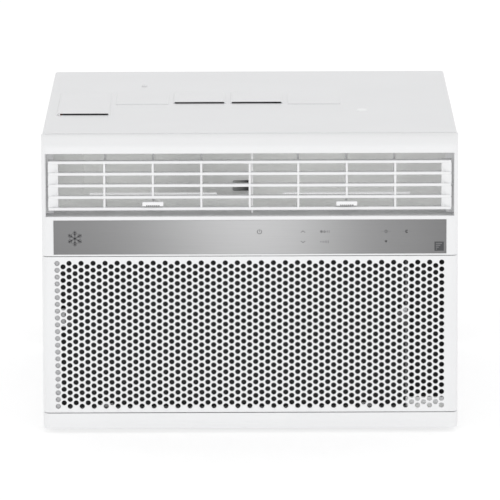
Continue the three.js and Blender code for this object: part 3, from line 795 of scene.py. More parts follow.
def wrap_plan(half_width, front, rear, wall):
    """The outline, seen from above, of a wall that wraps round two rounded front corners."""
    half_face = half_width - SIDE_DRAFT * (rear - front - CORNER_RADIUS)
    outline = []
    for inset in (0, wall):
        radius = CORNER_RADIUS - inset
        side = [(-half_width + inset, rear)]
        for step in range(CORNER_STEPS + 1):
            angle = math.pi + math.pi / 2 * step / CORNER_STEPS
            side.append((-half_face + CORNER_RADIUS + radius * math.cos(angle),
                         front + CORNER_RADIUS + radius * math.sin(angle)))
        run = side + [(-x, y) for x, y in reversed(side)]
        outline += run if inset == 0 else list(reversed(run))
    return outline


form = prism(wrap_plan(door_high.x, door_low.y, door_high.y, DOOR_WALL), "z", door_low.z, door_high.z)
rims = [edge for edge in form.edges
        if abs(edge.verts[0].co.z - edge.verts[1].co.z) < LEVEL and edge.calc_face_angle(0) > SHARP]
round_edges(form, rims, RIM_RADIUS)
window_low = corner - Vector((0, 1 * MM, 0))
window_high = corner + Vector((field_width, 2 * DOOR_WALL, field_height))
shell = shaded(carved(mesh_of(form), plain_mesh(bar(window_low, window_high))))
place_mesh("grille_door_punched", joined("grille_door_punched", shell, field_mesh), "grille_door")
print("door", round((door_high.x - door_low.x) / MM, 1), "mm wide")

# %% [markdown]
# ## Tilting louvre frame
#
# Five slats, seven ribs and two end blocks make one frame that tilts as a whole. A slat is a thin wing
# with a rounded front edge. Each end block is scalloped: between two slats its face leans back from a
# ridge, so light makes a soft step there. Slats and ribs repeat, so trees lay them out.

# %% Louvre frame
SLATS = 5
SLAT_PITCH = 14.1 * MM
SLAT_THICKNESS = 3.4 * MM
NOSE_RADIUS = 0.7 * MM
RIB_PITCH = 58.1 * MM
RIB_THICKNESS = 2.8 * MM
END_BLOCK = 12.6 * MM
SHORT_RIB = 2
RIBS_PER_SIDE = 3
PIVOT_LENGTH = 1.8 * MM
BAY_LEAN = 4.4 * MM

frame_low, frame_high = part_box("louvre_frame")
louvre_left = frame_low.x + PIVOT_LENGTH
louvre_right = frame_high.x - PIVOT_LENGTH
louvre_front = frame_low.y + 1 * MM
louvre_rear = frame_high.y
louvre_bottom = frame_low.z - 0.2 * MM


def slat_form():
    """One slat from end block to end block, thinner towards the back, its front edges rounded."""
    outline = []
    for corner_z, first in ((SLAT_THICKNESS - NOSE_RADIUS, math.pi / 2), (NOSE_RADIUS, math.pi)):
        for step in range(5):
            angle = first + math.pi / 2 * step / 4
            outline.append((louvre_front + NOSE_RADIUS * (1 + math.cos(angle)),
                            corner_z + NOSE_RADIUS * math.sin(angle)))
    outline += [(louvre_rear - 1 * MM, 1.3 * MM), (louvre_rear, 1.6 * MM),
                (louvre_rear, 2.2 * MM), (louvre_rear - 1 * MM, 2.6 * MM)]
    return prism(outline, "x", louvre_left + 1 * MM, louvre_right - 1 * MM)


def rib_form(height):
    """One upright rib, rounded at the front."""
    half = RIB_THICKNESS / 2
    return bar((-half, louvre_front + 0.8 * MM, 0), (half, louvre_rear - 1 * MM, height), 0.7 * MM)


def end_block_form(side):
    """A scalloped end block: each bay leans back and inwards from the ridge at its slat."""
    inner = (louvre_right - END_BLOCK) * side
    outer = louvre_right * side
    parts = [bar((min(inner, outer), louvre_front + 3.4 * MM, louvre_bottom),
                 (max(inner, outer), louvre_rear, frame_high.z), 0.6 * MM)]
    for row in range(SLATS - 1):
        z0 = louvre_bottom + row * SLAT_PITCH + SLAT_THICKNESS * 0.6
        z1 = z0 + SLAT_PITCH - SLAT_THICKNESS * 0.4
        y = louvre_front + 0.2 * MM
        form = bmesh.new()
        edge = (outer - side * 0.3 * MM, inner)
        corners = [(edge[0], y + 0.6 * MM, z0), (edge[1], y + BAY_LEAN, z0 + 2.2 * MM),
                   (edge[1], y + 0.5 * MM, z1), (edge[0], y, z1)]
        front = [form.verts.new(c) for c in corners]
        back = [form.verts.new((c[0], louvre_front + 6 * MM, c[2])) for c in corners]
        form.faces.new(front)
        form.faces.new(back)
        bridge(form, front, back)
        bmesh.ops.recalc_face_normals(form, faces=form.faces)
        round_edges(form, form.edges[:], 0.35 * MM)
        parts.append(form)
    return merged(*parts)


slats = copies(mesh_of(slat_form()), "white_plastic", (0, 0, louvre_bottom),
               SLATS, (0, 0, SLAT_PITCH))
rib_height = (SLATS - 1) * SLAT_PITCH
full_rib = mesh_of(rib_form(rib_height))
short_rib = mesh_of(rib_form(rib_height - SLAT_PITCH))
rib_base = louvre_bottom + SLAT_THICKNESS / 2
middle_ribs = copies(full_rib, "white_plastic", (-RIB_PITCH, 0, rib_base), 3, (RIB_PITCH, 0, 0))
outer_ribs = copies(full_rib, "white_plastic", (-RIBS_PER_SIDE * RIB_PITCH, 0, rib_base),
                    2, (2 * RIBS_PER_SIDE * RIB_PITCH, 0, 0))
short_ribs = copies(short_rib, "white_plastic", (-SHORT_RIB * RIB_PITCH, 0, rib_base + SLAT_PITCH),
                    2, (2 * SHORT_RIB * RIB_PITCH, 0, 0))
ends = mesh_of(merged(end_block_form(-1), end_block_form(1)))
trunnions = []
pivot_z = (louvre_bottom + frame_high.z) / 2
for side in (-1, 1):
    trunnion = rod(3 * MM, 2.6 * MM, 2.8 * MM)
    turn_about(trunnion, "Y", math.pi / 2 * side)
    shift(trunnion, (side * (louvre_right + 0.5 * MM), louvre_front + 9 * MM, pivot_z))
    trunnions.append(mesh_of(trunnion))
louvre_mesh = joined("louvre_frame_shape", slats, middle_ribs, outer_ribs, short_ribs, ends, *trunnions)
place_mesh("louvre_frame_shape", louvre_mesh, "louvre_frame")
print("louvre frame:", len(louvre_mesh.polygons), "faces,", SLATS, "slats")

# %% [markdown]
# ## Vanes with finger tabs
#
# The middle vane of each group ends in a tab between the two lowest slats. The tab's lower front edge is
# ribbed so that a finger can push it sideways, and the ribs are coloured dark grey: painted shade under
# the tab. The other vanes keep their softened CAD shape.

# %% Finger tabs
TAB_RIBS = 7
TAB_RIB_PITCH = 2.4 * MM
TAB_RISE = 5.0 * MM
for side in ("left", "right"):
    low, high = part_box(f"vane_{side}_2")
    first_x = (low.x + high.x) / 2 - TAB_RIB_PITCH * (TAB_RIBS - 1) / 2
    ridge = bar((-0.75 * MM, 0, 0), (0.75 * MM, 1.3 * MM, 1.7 * MM), 0.25 * MM, 1)
    # The ribs are dark grey: painted shade under the tab
    grip = copies(mesh_of(ridge), "clip_shade_grey", (first_x, low.y - 0.3 * MM, louvre_bottom + TAB_RISE),
                  TAB_RIBS, (TAB_RIB_PITCH, 0, 0))
    grip.set_sharp_from_angle(angle=SHARP)
    place_mesh(f"tab_grip_{side}", grip, f"vane_{side}_2", "clip_shade_grey", stands_for=False)
print("tab ribs:", TAB_RIBS, "on each tab")

# %% [markdown]
# ## Air filter
#
# Seen through the holes the filter is a dark net in a thin white frame. The net is woven: two sets of
# fine threads cross, and between them it is nearly black because the coil behind gets no light.

# %% Woven net
# The bands of a wave texture repeat every 0.314 / scale metres: here a thread every 1.2 mm
THREAD_SCALE = 260.0
NET_DARK = (0.03, 0.03, 0.031)
NET_LIGHT = (0.075, 0.075, 0.077)


def net_finish():
    """A dark woven net: two crossing waves of thread raise the surface and lighten it a little."""
    finish, nodes, links, shader = blank_finish("filter_net")
    place = nodes.new("ShaderNodeTexCoord")
    thread = nodes.new("ShaderNodeMath")
    thread.operation = "MAXIMUM"
    for direction, height in zip(("X", "Z"), thread.inputs):
        wave = nodes.new("ShaderNodeTexWave")
        wave.wave_type = "BANDS"
        wave.bands_direction = direction
        wave.inputs["Scale"].default_value = THREAD_SCALE
        wave.inputs["Distortion"].default_value = 0.2
        links.new(place.outputs["Object"], wave.inputs["Vector"])
        links.new(wave.outputs["Fac"], height)
    ramp = add_ramp(nodes, links, thread.outputs["Value"], [(0.5, NET_DARK), (1, NET_LIGHT)])
    links.new(ramp.outputs["Color"], shader.inputs["Base Color"])
    shader.inputs["Roughness"].default_value = 0.75
    shader.inputs["Specular IOR Level"].default_value = 0.2
    add_bump(nodes, links, shader, thread.outputs["Value"], 0.0002)
    return finish


FINISHES["filter_net"] = net_finish()

# %% [markdown]
# The frame has rails below, above and on the left, and a narrow darker edge on the right. The white frame
# is coloured mid grey as painted shade behind the door, and its right edge darker still as painted shade.
# Two lugs in front of the lower rail hold it in the door.

# %% Filter frame
LEFT_BORDER = 7.4 * MM
RIGHT_BORDER = 2.6 * MM
LEVEL_BORDER = 5.0 * MM
NET_DEPTH = 0.8 * MM
LUG_STARTS = (-180 * MM, 134 * MM)
LUG_WIDTH = 14 * MM
filter_low, filter_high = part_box("air_filter")
net_rear = filter_low.y + NET_DEPTH
door_back = door_low.y + DOOR_WALL + 0.7 * MM
rail = []
for x0, x1, y0, z0, z1 in (
        (filter_low.x, filter_high.x, net_rear, filter_low.z, filter_low.z + LEVEL_BORDER),
        (filter_low.x, filter_high.x, net_rear, filter_high.z - LEVEL_BORDER, filter_high.z),
        (filter_low.x, filter_low.x + LEFT_BORDER, door_back, filter_low.z, filter_high.z)):
    rail.append(mesh_of(bar((x0, y0, z0), (x1, filter_high.y, z1), 0.5 * MM)))
for x in LUG_STARTS:
    rail.append(mesh_of(bar((x, filter_low.y - 2 * MM, filter_low.z - 0.5 * MM),
                            (x + LUG_WIDTH, filter_low.y + 1 * MM, filter_low.z + 4.5 * MM), 0.5 * MM)))
# The white frame is coloured mid grey: painted shade
place_mesh("filter_border", joined("filter_border", *rail), "air_filter", "filter_mesh")
edge_x = filter_high.x - 0.3 * MM
edge = bar((edge_x, filter_low.y, filter_low.z),
           (edge_x + RIGHT_BORDER, filter_high.y, filter_high.z), 0.5 * MM)
# Darker grey for the right edge: painted shade
place_mesh("filter_edge", mesh_of(edge), "air_filter", "edge_shade_grey", stands_for=False)

# %% [markdown]
# The two clips are coloured dark grey as painted shade, with a pale plate on the front: a tall narrow one
# on the left clip, a small one at the top of the right clip. The plates share the frame's mid grey, painted
# shade on white plastic. The stop of the drip tray has a pale face too, and it glows a little as painted
# light.

# %% Clip plates and tray stop
LEFT_PLATE_WIDTH = 5.2 * MM
RIGHT_PLATE_WIDTH = 6 * MM
RIGHT_PLATE_HEIGHT = 7 * MM
STOP_LEFT = 187.2 * MM
STOP_BOTTOM = 34 * MM
for side in ("left", "right"):
    low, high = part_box(f"filter_clip_{side}")
    if side == "left":
        x0, x1, z0 = low.x - 0.2 * MM, low.x + LEFT_PLATE_WIDTH, low.z
    else:
        x0, x1, z0 = high.x - RIGHT_PLATE_WIDTH, high.x, high.z - RIGHT_PLATE_HEIGHT
    plate = bar((x0, low.y - 0.4 * MM, z0), (x1, low.y + 0.6 * MM, high.z), 0.4 * MM)
    place_mesh(f"clip_plate_{side}", mesh_of(plate), f"filter_clip_{side}", "filter_mesh",
               stands_for=False)
tray_low, tray_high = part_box("drip_tray")
stop = bar((STOP_LEFT, tray_low.y - 1.3 * MM, STOP_BOTTOM),
           (tray_high.x, tray_low.y + 0.6 * MM, tray_high.z + 1.7 * MM), 0.4 * MM)
place_mesh("tray_stop_face", mesh_of(stop), "drip_tray", "vane_white", stands_for=False)

# %% [markdown]
# The net is one thin sheet between the rails, and a small dark label sits in front of its middle.

# %% Net and label
PATCH_LOW = (-9 * MM, 97 * MM)
PATCH_HIGH = (24 * MM, 109 * MM)
net = bar((filter_low.x + LEFT_BORDER - 1 * MM, net_rear - 0.6 * MM, filter_low.z + 0.2 * MM),
          (filter_high.x + 0.6 * MM, net_rear + 0.2 * MM, filter_high.z - 0.2 * MM), 0.1 * MM, 1)
place_mesh("filter_net", mesh_of(net), "air_filter", "filter_net", stands_for=False)
patch = bar((PATCH_LOW[0], filter_low.y - 1.2 * MM, PATCH_LOW[1]),
            (PATCH_HIGH[0], filter_low.y + 0.4 * MM, PATCH_HIGH[1]), 2 * MM)
place_mesh("filter_patch", mesh_of(patch), "air_filter", "dark_plastic", stands_for=False)
print("filter", round((filter_high.x - filter_low.x) / MM), "mm wide")

# %% [markdown]
# ## Brushed control strip
#
# The strip is a printed silver film with very fine level brush lines. Its tone runs from mid grey at the
# ends to light silver in the middle, as brushed metal does under a wide lamp; that drift is a painted
# reflection in the film's colour. The brush lines are noise stretched more than a hundredfold along X.

# %% Brushed film
strip_low, strip_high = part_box("control_overlay")
# Painted reflection: the strip's tone along X, darker at the ends and lighter in the middle
STRIP_REFLECTION_TONES = [(0.0, 0.20), (0.14, 0.225), (0.29, 0.335), (0.44, 0.49), (0.56, 0.50),
               (0.68, 0.39), (0.80, 0.255), (0.92, 0.222), (1.0, 0.185)]
BRUSH_SIZE = 0.0004
BRUSH_STRETCH = (0.008, 1, 1)
# A mix node has several sockets called A, B and Result, and these are the places of its colour ones
COLOUR_A, COLOUR_B, COLOUR_OUT = 6, 7, 2


def film_finish():
    """Silver film: a painted reflection as a tone ramp along X, fine brush lines, satin gloss."""
    finish, nodes, links, shader = blank_finish("brushed_film")
    along = add_run(nodes, links, strip_low.x, strip_high.x)
    ramp = add_ramp(nodes, links, along, [
        (position, (tone, tone, tone * 1.01)) for position, tone in STRIP_REFLECTION_TONES])
    ramp.color_ramp.interpolation = "B_SPLINE"
    brush = add_noise(nodes, links, BRUSH_SIZE, 4.0, BRUSH_STRETCH)
    shade = add_range(nodes, links, brush.outputs["Fac"], 0.93, 1.07)
    mix = nodes.new("ShaderNodeMix")
    mix.data_type = "RGBA"
    mix.blend_type = "MULTIPLY"
    mix.inputs["Factor"].default_value = 1.0
    links.new(ramp.outputs["Color"], mix.inputs[COLOUR_A])
    links.new(shade, mix.inputs[COLOUR_B])
    links.new(mix.outputs[COLOUR_OUT], shader.inputs["Base Color"])
    shader.inputs["Metallic"].default_value = 0.25
    rough = add_range(nodes, links, brush.outputs["Fac"], 0.36, 0.52)
    links.new(rough, shader.inputs["Roughness"])
    add_bump(nodes, links, shader, brush.outputs["Fac"], 0.000008)
    return finish


# Name: colour, roughness, drift
INKS = {
    "strip_print": ((0.17, 0.17, 0.175), 0.45, 0.03),
    "emblem_print": ((0.115, 0.115, 0.118), 0.4, 0.03),
    "badge_print": ((0.05, 0.052, 0.055), 0.4, 0.05),
}
FINISHES["brushed_film"] = film_finish()
for name, (colour, roughness, drift) in INKS.items():
    FINISHES[name] = plain_finish(name, colour, roughness, grain=0.0003, drift=drift)
film = mesh_of(bar(strip_low, strip_high, 0.25 * MM))
place_mesh("control_strip", film, "control_overlay", "brushed_film")
strip_size = strip_high - strip_low
print("strip", round(strip_size.x / MM, 1), "by", round(strip_size.z / MM, 1), "mm")

# %% [markdown]
# ## Marks on the strip
#
# The keys are touch areas under the film, so only printed marks show. They are thin raised ink: arrows,
# a power ring, a few small signs for fan, mode, timer, night and signal, a snowflake, and a level
# badge. A mark is drawn as strokes, and each stroke is a flat bar with round ends.

# %% Strokes of ink
INK = 0.06 * MM
ROUND_END_STEPS = 5
ink_y = strip_low.y


def stroke(start, end, width):
    """A bar of ink from one point to another on the strip, in metres."""
    run = Vector((end[0] - start[0], end[1] - start[1]))
    along = run.normalized() if run.length > 0 else Vector((1, 0))
    side = Vector((-along.y, along.x)) * width / 2
    outline = []
    for centre, first in ((Vector(end), -math.pi / 2), (Vector(start), math.pi / 2)):
        for step in range(ROUND_END_STEPS + 1):
            angle = first + math.pi * step / ROUND_END_STEPS
            outline.append(centre + along * math.cos(angle) * width / 2 + side * math.sin(angle))
    return prism([(p.x, p.y) for p in outline], "y", ink_y - INK, ink_y + INK)


def path_of(points, width):
    """Strokes through a list of points."""
    return [stroke(a, b, width) for a, b in zip(points, points[1:])]


def arc_of(centre, radius, first, last, width, steps=14):
    """Strokes along an arc, angles in degrees."""
    points = []
    for step in range(steps + 1):
        angle = math.radians(first + (last - first) * step / steps)
        points.append((centre[0] + radius * math.cos(angle), centre[1] + radius * math.sin(angle)))
    return path_of(points, width)


def mark(name, strokes, finish="strip_print"):
    """One printed mark, riding with the strip."""
    place_mesh(name, mesh_of(merged(*strokes)), "control_overlay", finish, stands_for=False)


upper_row = strip_low.z + 26.9 * MM
lower_row = strip_low.z + 14.4 * MM
LINE = 0.68 * MM
THIN_LINE = 0.8 * LINE

# %% Power ring, arrows and signs
DASH_PITCH = 1.9 * MM
ARROW_ARM = 2.4 * MM
ARROW_RISE = 0.9 * MM
# Places of the columns of marks along X
POWER_X, ARROWS_X, MODE_X, TIMER_X, NIGHT_X = (x * MM for x in (11.4, 63.6, 89.3, 163.2, 188.1))

power = (POWER_X, upper_row)
mark("mark_power", arc_of(power, 2.6 * MM, 120, 420, LINE)
     + [stroke(power, (power[0], power[1] + 2.9 * MM), LINE)])
for name, row, rise in (("up", upper_row, ARROW_RISE), ("down", lower_row, -ARROW_RISE)):
    points = [(ARROWS_X - ARROW_ARM, row - rise), (ARROWS_X, row + rise), (ARROWS_X + ARROW_ARM, row - rise)]
    mark(f"mark_{name}", path_of(points, LINE * 1.1))


def dashes(centre, shares, height):
    """A row of short upright bars, as a small scale."""
    strokes = []
    first = centre[0] - DASH_PITCH * (len(shares) - 1) / 2
    for k, share in enumerate(shares):
        x = first + k * DASH_PITCH
        half = height * share / 2
        strokes.append(stroke((x, centre[1] - half), (x, centre[1] + half), LINE))
    return strokes


def dots(centre, places):
    """Dots beside a sign, at `places` millimetres from its centre."""
    return [stroke((centre[0] + k * MM, centre[1]), (centre[0] + k * 1.01 * MM, centre[1]), LINE)
            for k in places]


def sun(centre, radius):
    """A small ring with rays."""
    strokes = arc_of(centre, radius * 0.45, 0, 360, THIN_LINE, 10)
    for k in range(8):
        along = Vector((math.cos(math.pi / 4 * k), math.sin(math.pi / 4 * k))) * radius
        strokes.append(stroke(Vector(centre) + along * 0.72, Vector(centre) + along, LINE * 0.7))
    return strokes


def drop(centre, size):
    """A water drop."""
    x, z = centre
    bulb = arc_of((x, z - size * 0.2), size * 0.5, 160, 380, THIN_LINE, 9)
    tip = [(x - size * 0.47, z - 0.03 * size), (x, z + size * 0.8), (x + size * 0.47, z - 0.03 * size)]
    return bulb + path_of(tip, THIN_LINE)


mode = (MODE_X, upper_row)
mark("mark_mode", sun((mode[0] - 3.6 * MM, mode[1]), 1.7 * MM) + drop(mode, 1.6 * MM)
     + dashes((mode[0] + 3.8 * MM, mode[1]), (0.5, 0.8, 1.0), 2.6 * MM))
speed = (MODE_X, lower_row)
mark("mark_speed", dashes(speed, (0.3, 0.45, 0.6, 0.75, 0.9, 1.0), 2.8 * MM))
timer = (TIMER_X, upper_row)
mark("mark_timer", arc_of(timer, 1.6 * MM, 0, 360, THIN_LINE)
     + path_of([(timer[0], timer[1] + 1 * MM), timer, (timer[0] + 0.8 * MM, timer[1])], LINE * 0.7)
     + dots(timer, (-5, -3.6, 3.6, 5)))
night = (NIGHT_X, upper_row)
mark("mark_night", arc_of(night, 1.6 * MM, 60, 300, LINE * 0.9)
     + arc_of((night[0] + 1.1 * MM, night[1]), 1.3 * MM, 100, 260, THIN_LINE, 8)
     + dots(night, (-5, -3.6, 3.8, 5.2)))
signal = (TIMER_X, lower_row)
mark("mark_signal", [s for k in (0.7, 1.6, 2.5)
                     for s in arc_of((signal[0], signal[1] - 1.3 * MM), k * MM, 50, 130, LINE * 0.9, 6)])
print("marks on two rows at", round(upper_row / MM, 1), "and", round(lower_row / MM, 1), "mm")

# %% Snowflake and badge
FLAKE_RADIUS = 9.0 * MM
FLAKE_BRANCHES = ((0.5, 0.34), (0.76, 0.24))
BADGE_HALF = 5.6 * MM
BADGE_BARS = 4
flake = Vector((-210.0 * MM, strip_low.z + 19.3 * MM))
flake_strokes = []
for k in range(6):
    angle = math.pi / 3 * k + math.pi / 6
    along = Vector((math.cos(angle), math.sin(angle)))
    across = Vector((-along.y, along.x))
    flake_strokes.append(stroke(flake, flake + along * FLAKE_RADIUS, 1.5 * MM))
    for share, reach in FLAKE_BRANCHES:
        root = flake + along * FLAKE_RADIUS * share
        for side in (-1, 1):
            tip = root + (along * 0.7 + across * side) * FLAKE_RADIUS * reach * 0.8
            flake_strokes.append(stroke(root, tip, 1.2 * MM))
mark("mark_snowflake", flake_strokes, "emblem_print")
badge = (226.9 * MM, strip_low.z + 8.6 * MM)
plate = bar((badge[0] - BADGE_HALF, ink_y - INK, badge[1] - BADGE_HALF),
            (badge[0] + BADGE_HALF, ink_y + INK, badge[1] + BADGE_HALF))
place_mesh("badge_plate", mesh_of(plate), "control_overlay", "badge_print", stands_for=False)
level = [bar((badge[0] - 4 * MM, ink_y - 2 * INK, badge[1] + (k * 2.3 - 4) * MM),
             (badge[0] + (k * 2 - 2.6) * MM, ink_y, badge[1] + (k * 2.3 - 2.9) * MM))
         for k in range(BADGE_BARS)]
place_mesh("badge_levels", mesh_of(merged(*level)), "control_overlay", "strip_print", stands_for=False)
print("snowflake", round(2 * FLAKE_RADIUS / MM, 1), "mm across, badge", round(2 * BADGE_HALF / MM, 1), "mm")

# %% [markdown]
# ## Pressed steel cabinet
#
# The cabinet is one sheet folded over the machine. Its fold has a real radius. Along the top run five
# pressed vents: each is a long low wedge, open at the front edge in three of them and closed in two.
# The sheet is cut away under an open wedge, so the dark inside shows through the slit.

# %% Folded sheet
SHEET = 1.2 * MM
FOLD = 3.2 * MM
FOLD_STEPS = 6
VENT_PITCH = 71 * MM
VENT_WIDTH = 66 * MM
VENT_LIFT = 2.6 * MM
VENT_REAR = 99 * MM
FIRST_FRONT = -90 * MM
NEXT_FRONT = 1 * MM
OPEN_VENTS = (0, 2, 3)
SLIT_LENGTH = 22 * MM
SLIT_MARGIN = 2.4 * MM
SIDE_ROWS = 3
SIDE_COLUMNS = 6
SIDE_PITCH = 44 * MM
SIDE_RISE = 60 * MM
SIDE_Y = -43 * MM
SIDE_Z = 90 * MM
cabinet_low, cabinet_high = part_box("cabinet")
top_z = cabinet_high.z
first_vent_x = cabinet_low.x + 12.8 * MM


def folded_outline():
    """The U of the sheet seen from the front: down one side, over the top, down the other."""
    outline = []
    for inset in (0, SHEET):
        radius = FOLD - inset
        run = [(cabinet_low.x + inset, cabinet_low.z)]
        for side, first in ((-1, math.pi), (1, math.pi / 2)):
            middle_x = side * (cabinet_high.x - FOLD)
            for step in range(FOLD_STEPS + 1):
                angle = first - math.pi / 2 * step / FOLD_STEPS
                run.append((middle_x + radius * math.cos(angle), top_z - FOLD + radius * math.sin(angle)))
        run.append((cabinet_high.x - inset, cabinet_low.z))
        outline += run if inset == 0 else list(reversed(run))
    return outline


cuts = []
for row in OPEN_VENTS:
    x0 = first_vent_x + row * VENT_PITCH
    y0 = FIRST_FRONT if row == 0 else NEXT_FRONT
    cuts.append(plain_mesh(bar((x0 + SLIT_MARGIN, y0 + 0.3 * MM, top_z - 3 * SHEET),
                               (x0 + VENT_WIDTH - SLIT_MARGIN, y0 + SLIT_LENGTH, top_z + SHEET))))
slit = bar((-3 * SHEET, 0.5 * MM, 0), (3 * SHEET, 29.5 * MM, 4 * MM))
slits = copies(mesh_of(slit), "painted_steel", (cabinet_low.x, SIDE_Y, SIDE_Z),
               SIDE_COLUMNS, (0, SIDE_PITCH, 0), SIDE_ROWS, (0, 0, SIDE_RISE))
slits_right = slits.copy()
slits_right.transform(Matrix.Translation((2 * cabinet_high.x, 0, 0)))
gland_low, gland_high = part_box("cord_gland")
gland_hole = rod(7 * MM, 8 * MM)
turn_about(gland_hole, "Y")
shift(gland_hole, (cabinet_high.x, (gland_low.y + gland_high.y) / 2, (gland_low.z + gland_high.z) / 2))
sheet = mesh_of(prism(folded_outline(), "y", cabinet_low.y, cabinet_high.y))
folded = shaded(carved(sheet, slits, slits_right, plain_mesh(gland_hole), *cuts))
print("cabinet sheet:", len(folded.polygons), "faces")

# %% [markdown]
# A vent is a wedge with rounded flanks. It is highest at its front edge and runs out flat at the back.
# An open vent has a slit in that edge and is hollow behind it. The sides carry rows of short lips, each
# one the same wedge turned on its side over a slit in the sheet.

# %% Pressed vents
CLOSED_LIFT = 1.1 * MM
CLOSED_START = 8 * MM


def wedge(width, length, lift):
    """A solid wedge: full lift at the front, flat at the back, sloping flanks."""
    flank = 0.8 * lift
    form = bmesh.new()
    low = [(0, 0), (width, 0), (width, length), (0, length)]
    high = [(flank, 0.05 * MM), (width - flank, 0.05 * MM), (width - flank, length - flank * 1.5),
            (flank, length - flank * 1.5)]
    lifts = (lift, lift, lift * 0.18, lift * 0.18)
    base = [form.verts.new((x, y, -0.6 * MM)) for x, y in low]
    rim = [form.verts.new((x, y, 0)) for x, y in low]
    crown = [form.verts.new((x, y, h)) for (x, y), h in zip(high, lifts)]
    form.faces.new(base)
    form.faces.new(crown)
    bridge(form, base, rim)
    bridge(form, rim, crown)
    bmesh.ops.recalc_face_normals(form, faces=form.faces)
    edges = [edge for edge in form.edges
             if edge.verts[0] in crown and edge.verts[1] in crown
             and not all(v.co.y < 1 * MM for v in edge.verts)]
    round_edges(form, edges, lift * 0.7, 3)
    return form


def open_wedge(width, length, lift):
    """A wedge with a slit along its front edge and a hollow behind it."""
    hollow = bar((2.2 * MM, -1 * MM, -2 * MM), (width - 2.2 * MM, 18 * MM, lift - 0.7 * MM), 0.2 * MM, 1)
    return carved(mesh_of(wedge(width, length, lift)), mesh_of(hollow))


next_length = VENT_REAR - NEXT_FRONT
first = open_wedge(VENT_WIDTH, VENT_REAR - FIRST_FRONT, VENT_LIFT)
opened = open_wedge(VENT_WIDTH, next_length, VENT_LIFT)
closed = mesh_of(wedge(VENT_WIDTH, next_length + CLOSED_START, CLOSED_LIFT))
vents = [
    copies(first, "painted_steel", (first_vent_x, FIRST_FRONT, top_z)),
    copies(opened, "painted_steel", (first_vent_x + 2 * VENT_PITCH, NEXT_FRONT, top_z),
           2, (VENT_PITCH, 0, 0)),
    copies(closed, "painted_steel", (first_vent_x + VENT_PITCH, NEXT_FRONT - CLOSED_START, top_z),
           2, (3 * VENT_PITCH, 0, 0)),
]
lip_form = wedge(30 * MM, 11 * MM, 2.2 * MM)
turn_about(lip_form, "Z", -math.pi / 2)
for side in (-1, 1):
    lip = lip_form.copy()
    turn_about(lip, "Y", side * math.pi / 2)
    low = [min(v.co[k] for v in lip.verts) for k in range(3)]
    high = [max(v.co[k] for v in lip.verts) for k in range(3)]
    wall_x = cabinet_high.x - SHEET / 2 if side > 0 else cabinet_low.x + SHEET / 2 - (high[0] - low[0])
    start = (wall_x - low[0], SIDE_Y - low[1], SIDE_Z + 3.2 * MM - low[2])
    vents.append(copies(mesh_of(lip), "painted_steel", start, SIDE_COLUMNS, (0, SIDE_PITCH, 0),
                        SIDE_ROWS, (0, 0, SIDE_RISE)))
lip_form.free()
place_mesh("cabinet_shape", joined("cabinet_shape", folded, *vents), "cabinet")
print("vents:", len(OPEN_VENTS), "open and 2 closed on top,", 2 * SIDE_ROWS * SIDE_COLUMNS, "on the sides")

# %% [markdown]
# ## Fasteners
#
# One function draws a screw: a domed head with a cross recess. Screws sit wherever sheet metal is held:
# one on the top, a row along each lower side of the cabinet, and one at each corner of the rear guard. A
# small oval plug closes a wiring hole on the top.

# %% Screws and plug
def screw_mesh(radius, height):
    """A domed screw head with a cross recess, pointing up, standing on Z = 0."""
    head = rod(radius, height, radius * 0.62)
    shift(head, (0, 0, height / 2))
    round_edges(head, [e for e in head.edges if all(v.co.z > height * 0.9 for v in e.verts)],
                height * 0.35, 3)
    slots = []
    for a, b in ((0.42, 0.09), (0.09, 0.42)):
        slot = bar((-radius * a, -radius * b, height * 0.45), (radius * a, radius * b, height * 2))
        slots.append(plain_mesh(slot))
    return shaded(carved(mesh_of(head), *slots))


SCREWS_PER_SIDE = 4
SCREW_PITCH = 125 * MM
FIRST_SCREW = (-150 * MM, 14 * MM)
screw_low, screw_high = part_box("top_screw")
screw_radius = (screw_high.x - screw_low.x) / 2
screw_place = ((screw_low.x + screw_high.x) / 2, (screw_low.y + screw_high.y) / 2, screw_low.z)
top_screw = copies(screw_mesh(screw_radius, screw_high.z - screw_low.z), "painted_steel", screw_place)
place_mesh("top_screw_shape", top_screw, "top_screw", "painted_steel")
for side, name in ((-1, "left"), (1, "right")):
    head = screw_mesh(3.6 * MM, 1.6 * MM)
    head.transform(Matrix.Rotation(math.pi / 2 * side, 4, "Y"))
    wall = cabinet_high.x if side > 0 else cabinet_low.x
    row = copies(head, "galvanised", (wall, *FIRST_SCREW), SCREWS_PER_SIDE, (0, SCREW_PITCH, 0))
    place_mesh(f"side_screws_{name}", row, "cabinet", "galvanised", stands_for=False)
plug = bmesh.new()
bmesh.ops.create_uvsphere(plug, u_segments=32, v_segments=12, radius=1.0)
bmesh.ops.scale(plug, vec=(6.8 * MM, 10 * MM, 1.4 * MM), verts=plug.verts)
shift(plug, (138.6 * MM, -56 * MM, top_z))
place_mesh("top_plug", mesh_of(plug), "cabinet", "white_plastic", stands_for=False)
print("screws:", 2 * SCREWS_PER_SIDE, "on the sides")

# %% [markdown]
# ## Coils
#
# A coil is a stack of thin wavy fins with copper tubes through it. Only the tubes' return bends show,
# outside the end plates. Fins and bends repeat, so the grid tree lays them out: the fins inside the CAD
# block, the bends past its two ends.

# %% Fins, end plates and return bends
FIN_PITCH = 2.1 * MM
FIN_SHEET = 0.25 * MM
FIN_WAVES = 8
FIN_WAVE_DEPTH = 0.5 * MM
COIL_PLATE = 1.2 * MM
COIL_MARGIN = 2.5 * MM
BEND_RADIUS = 7.5 * MM
BEND_STEPS = 10
TUBE_RADIUS = 3.6 * MM
TUBE_SIDES = 10
TUBE_PITCH = 2 * BEND_RADIUS


def fin_form(y0, y1, z0, z1):
    """One wavy fin: it zigzags across the air stream."""
    near = []
    for step in range(FIN_WAVES + 1):
        y = y0 + (y1 - y0) * step / FIN_WAVES
        near.append((FIN_WAVE_DEPTH * (step % 2), y))
    outline = near + [(x + FIN_SHEET, y) for x, y in reversed(near)]
    return prism(outline, "z", z0, z1)


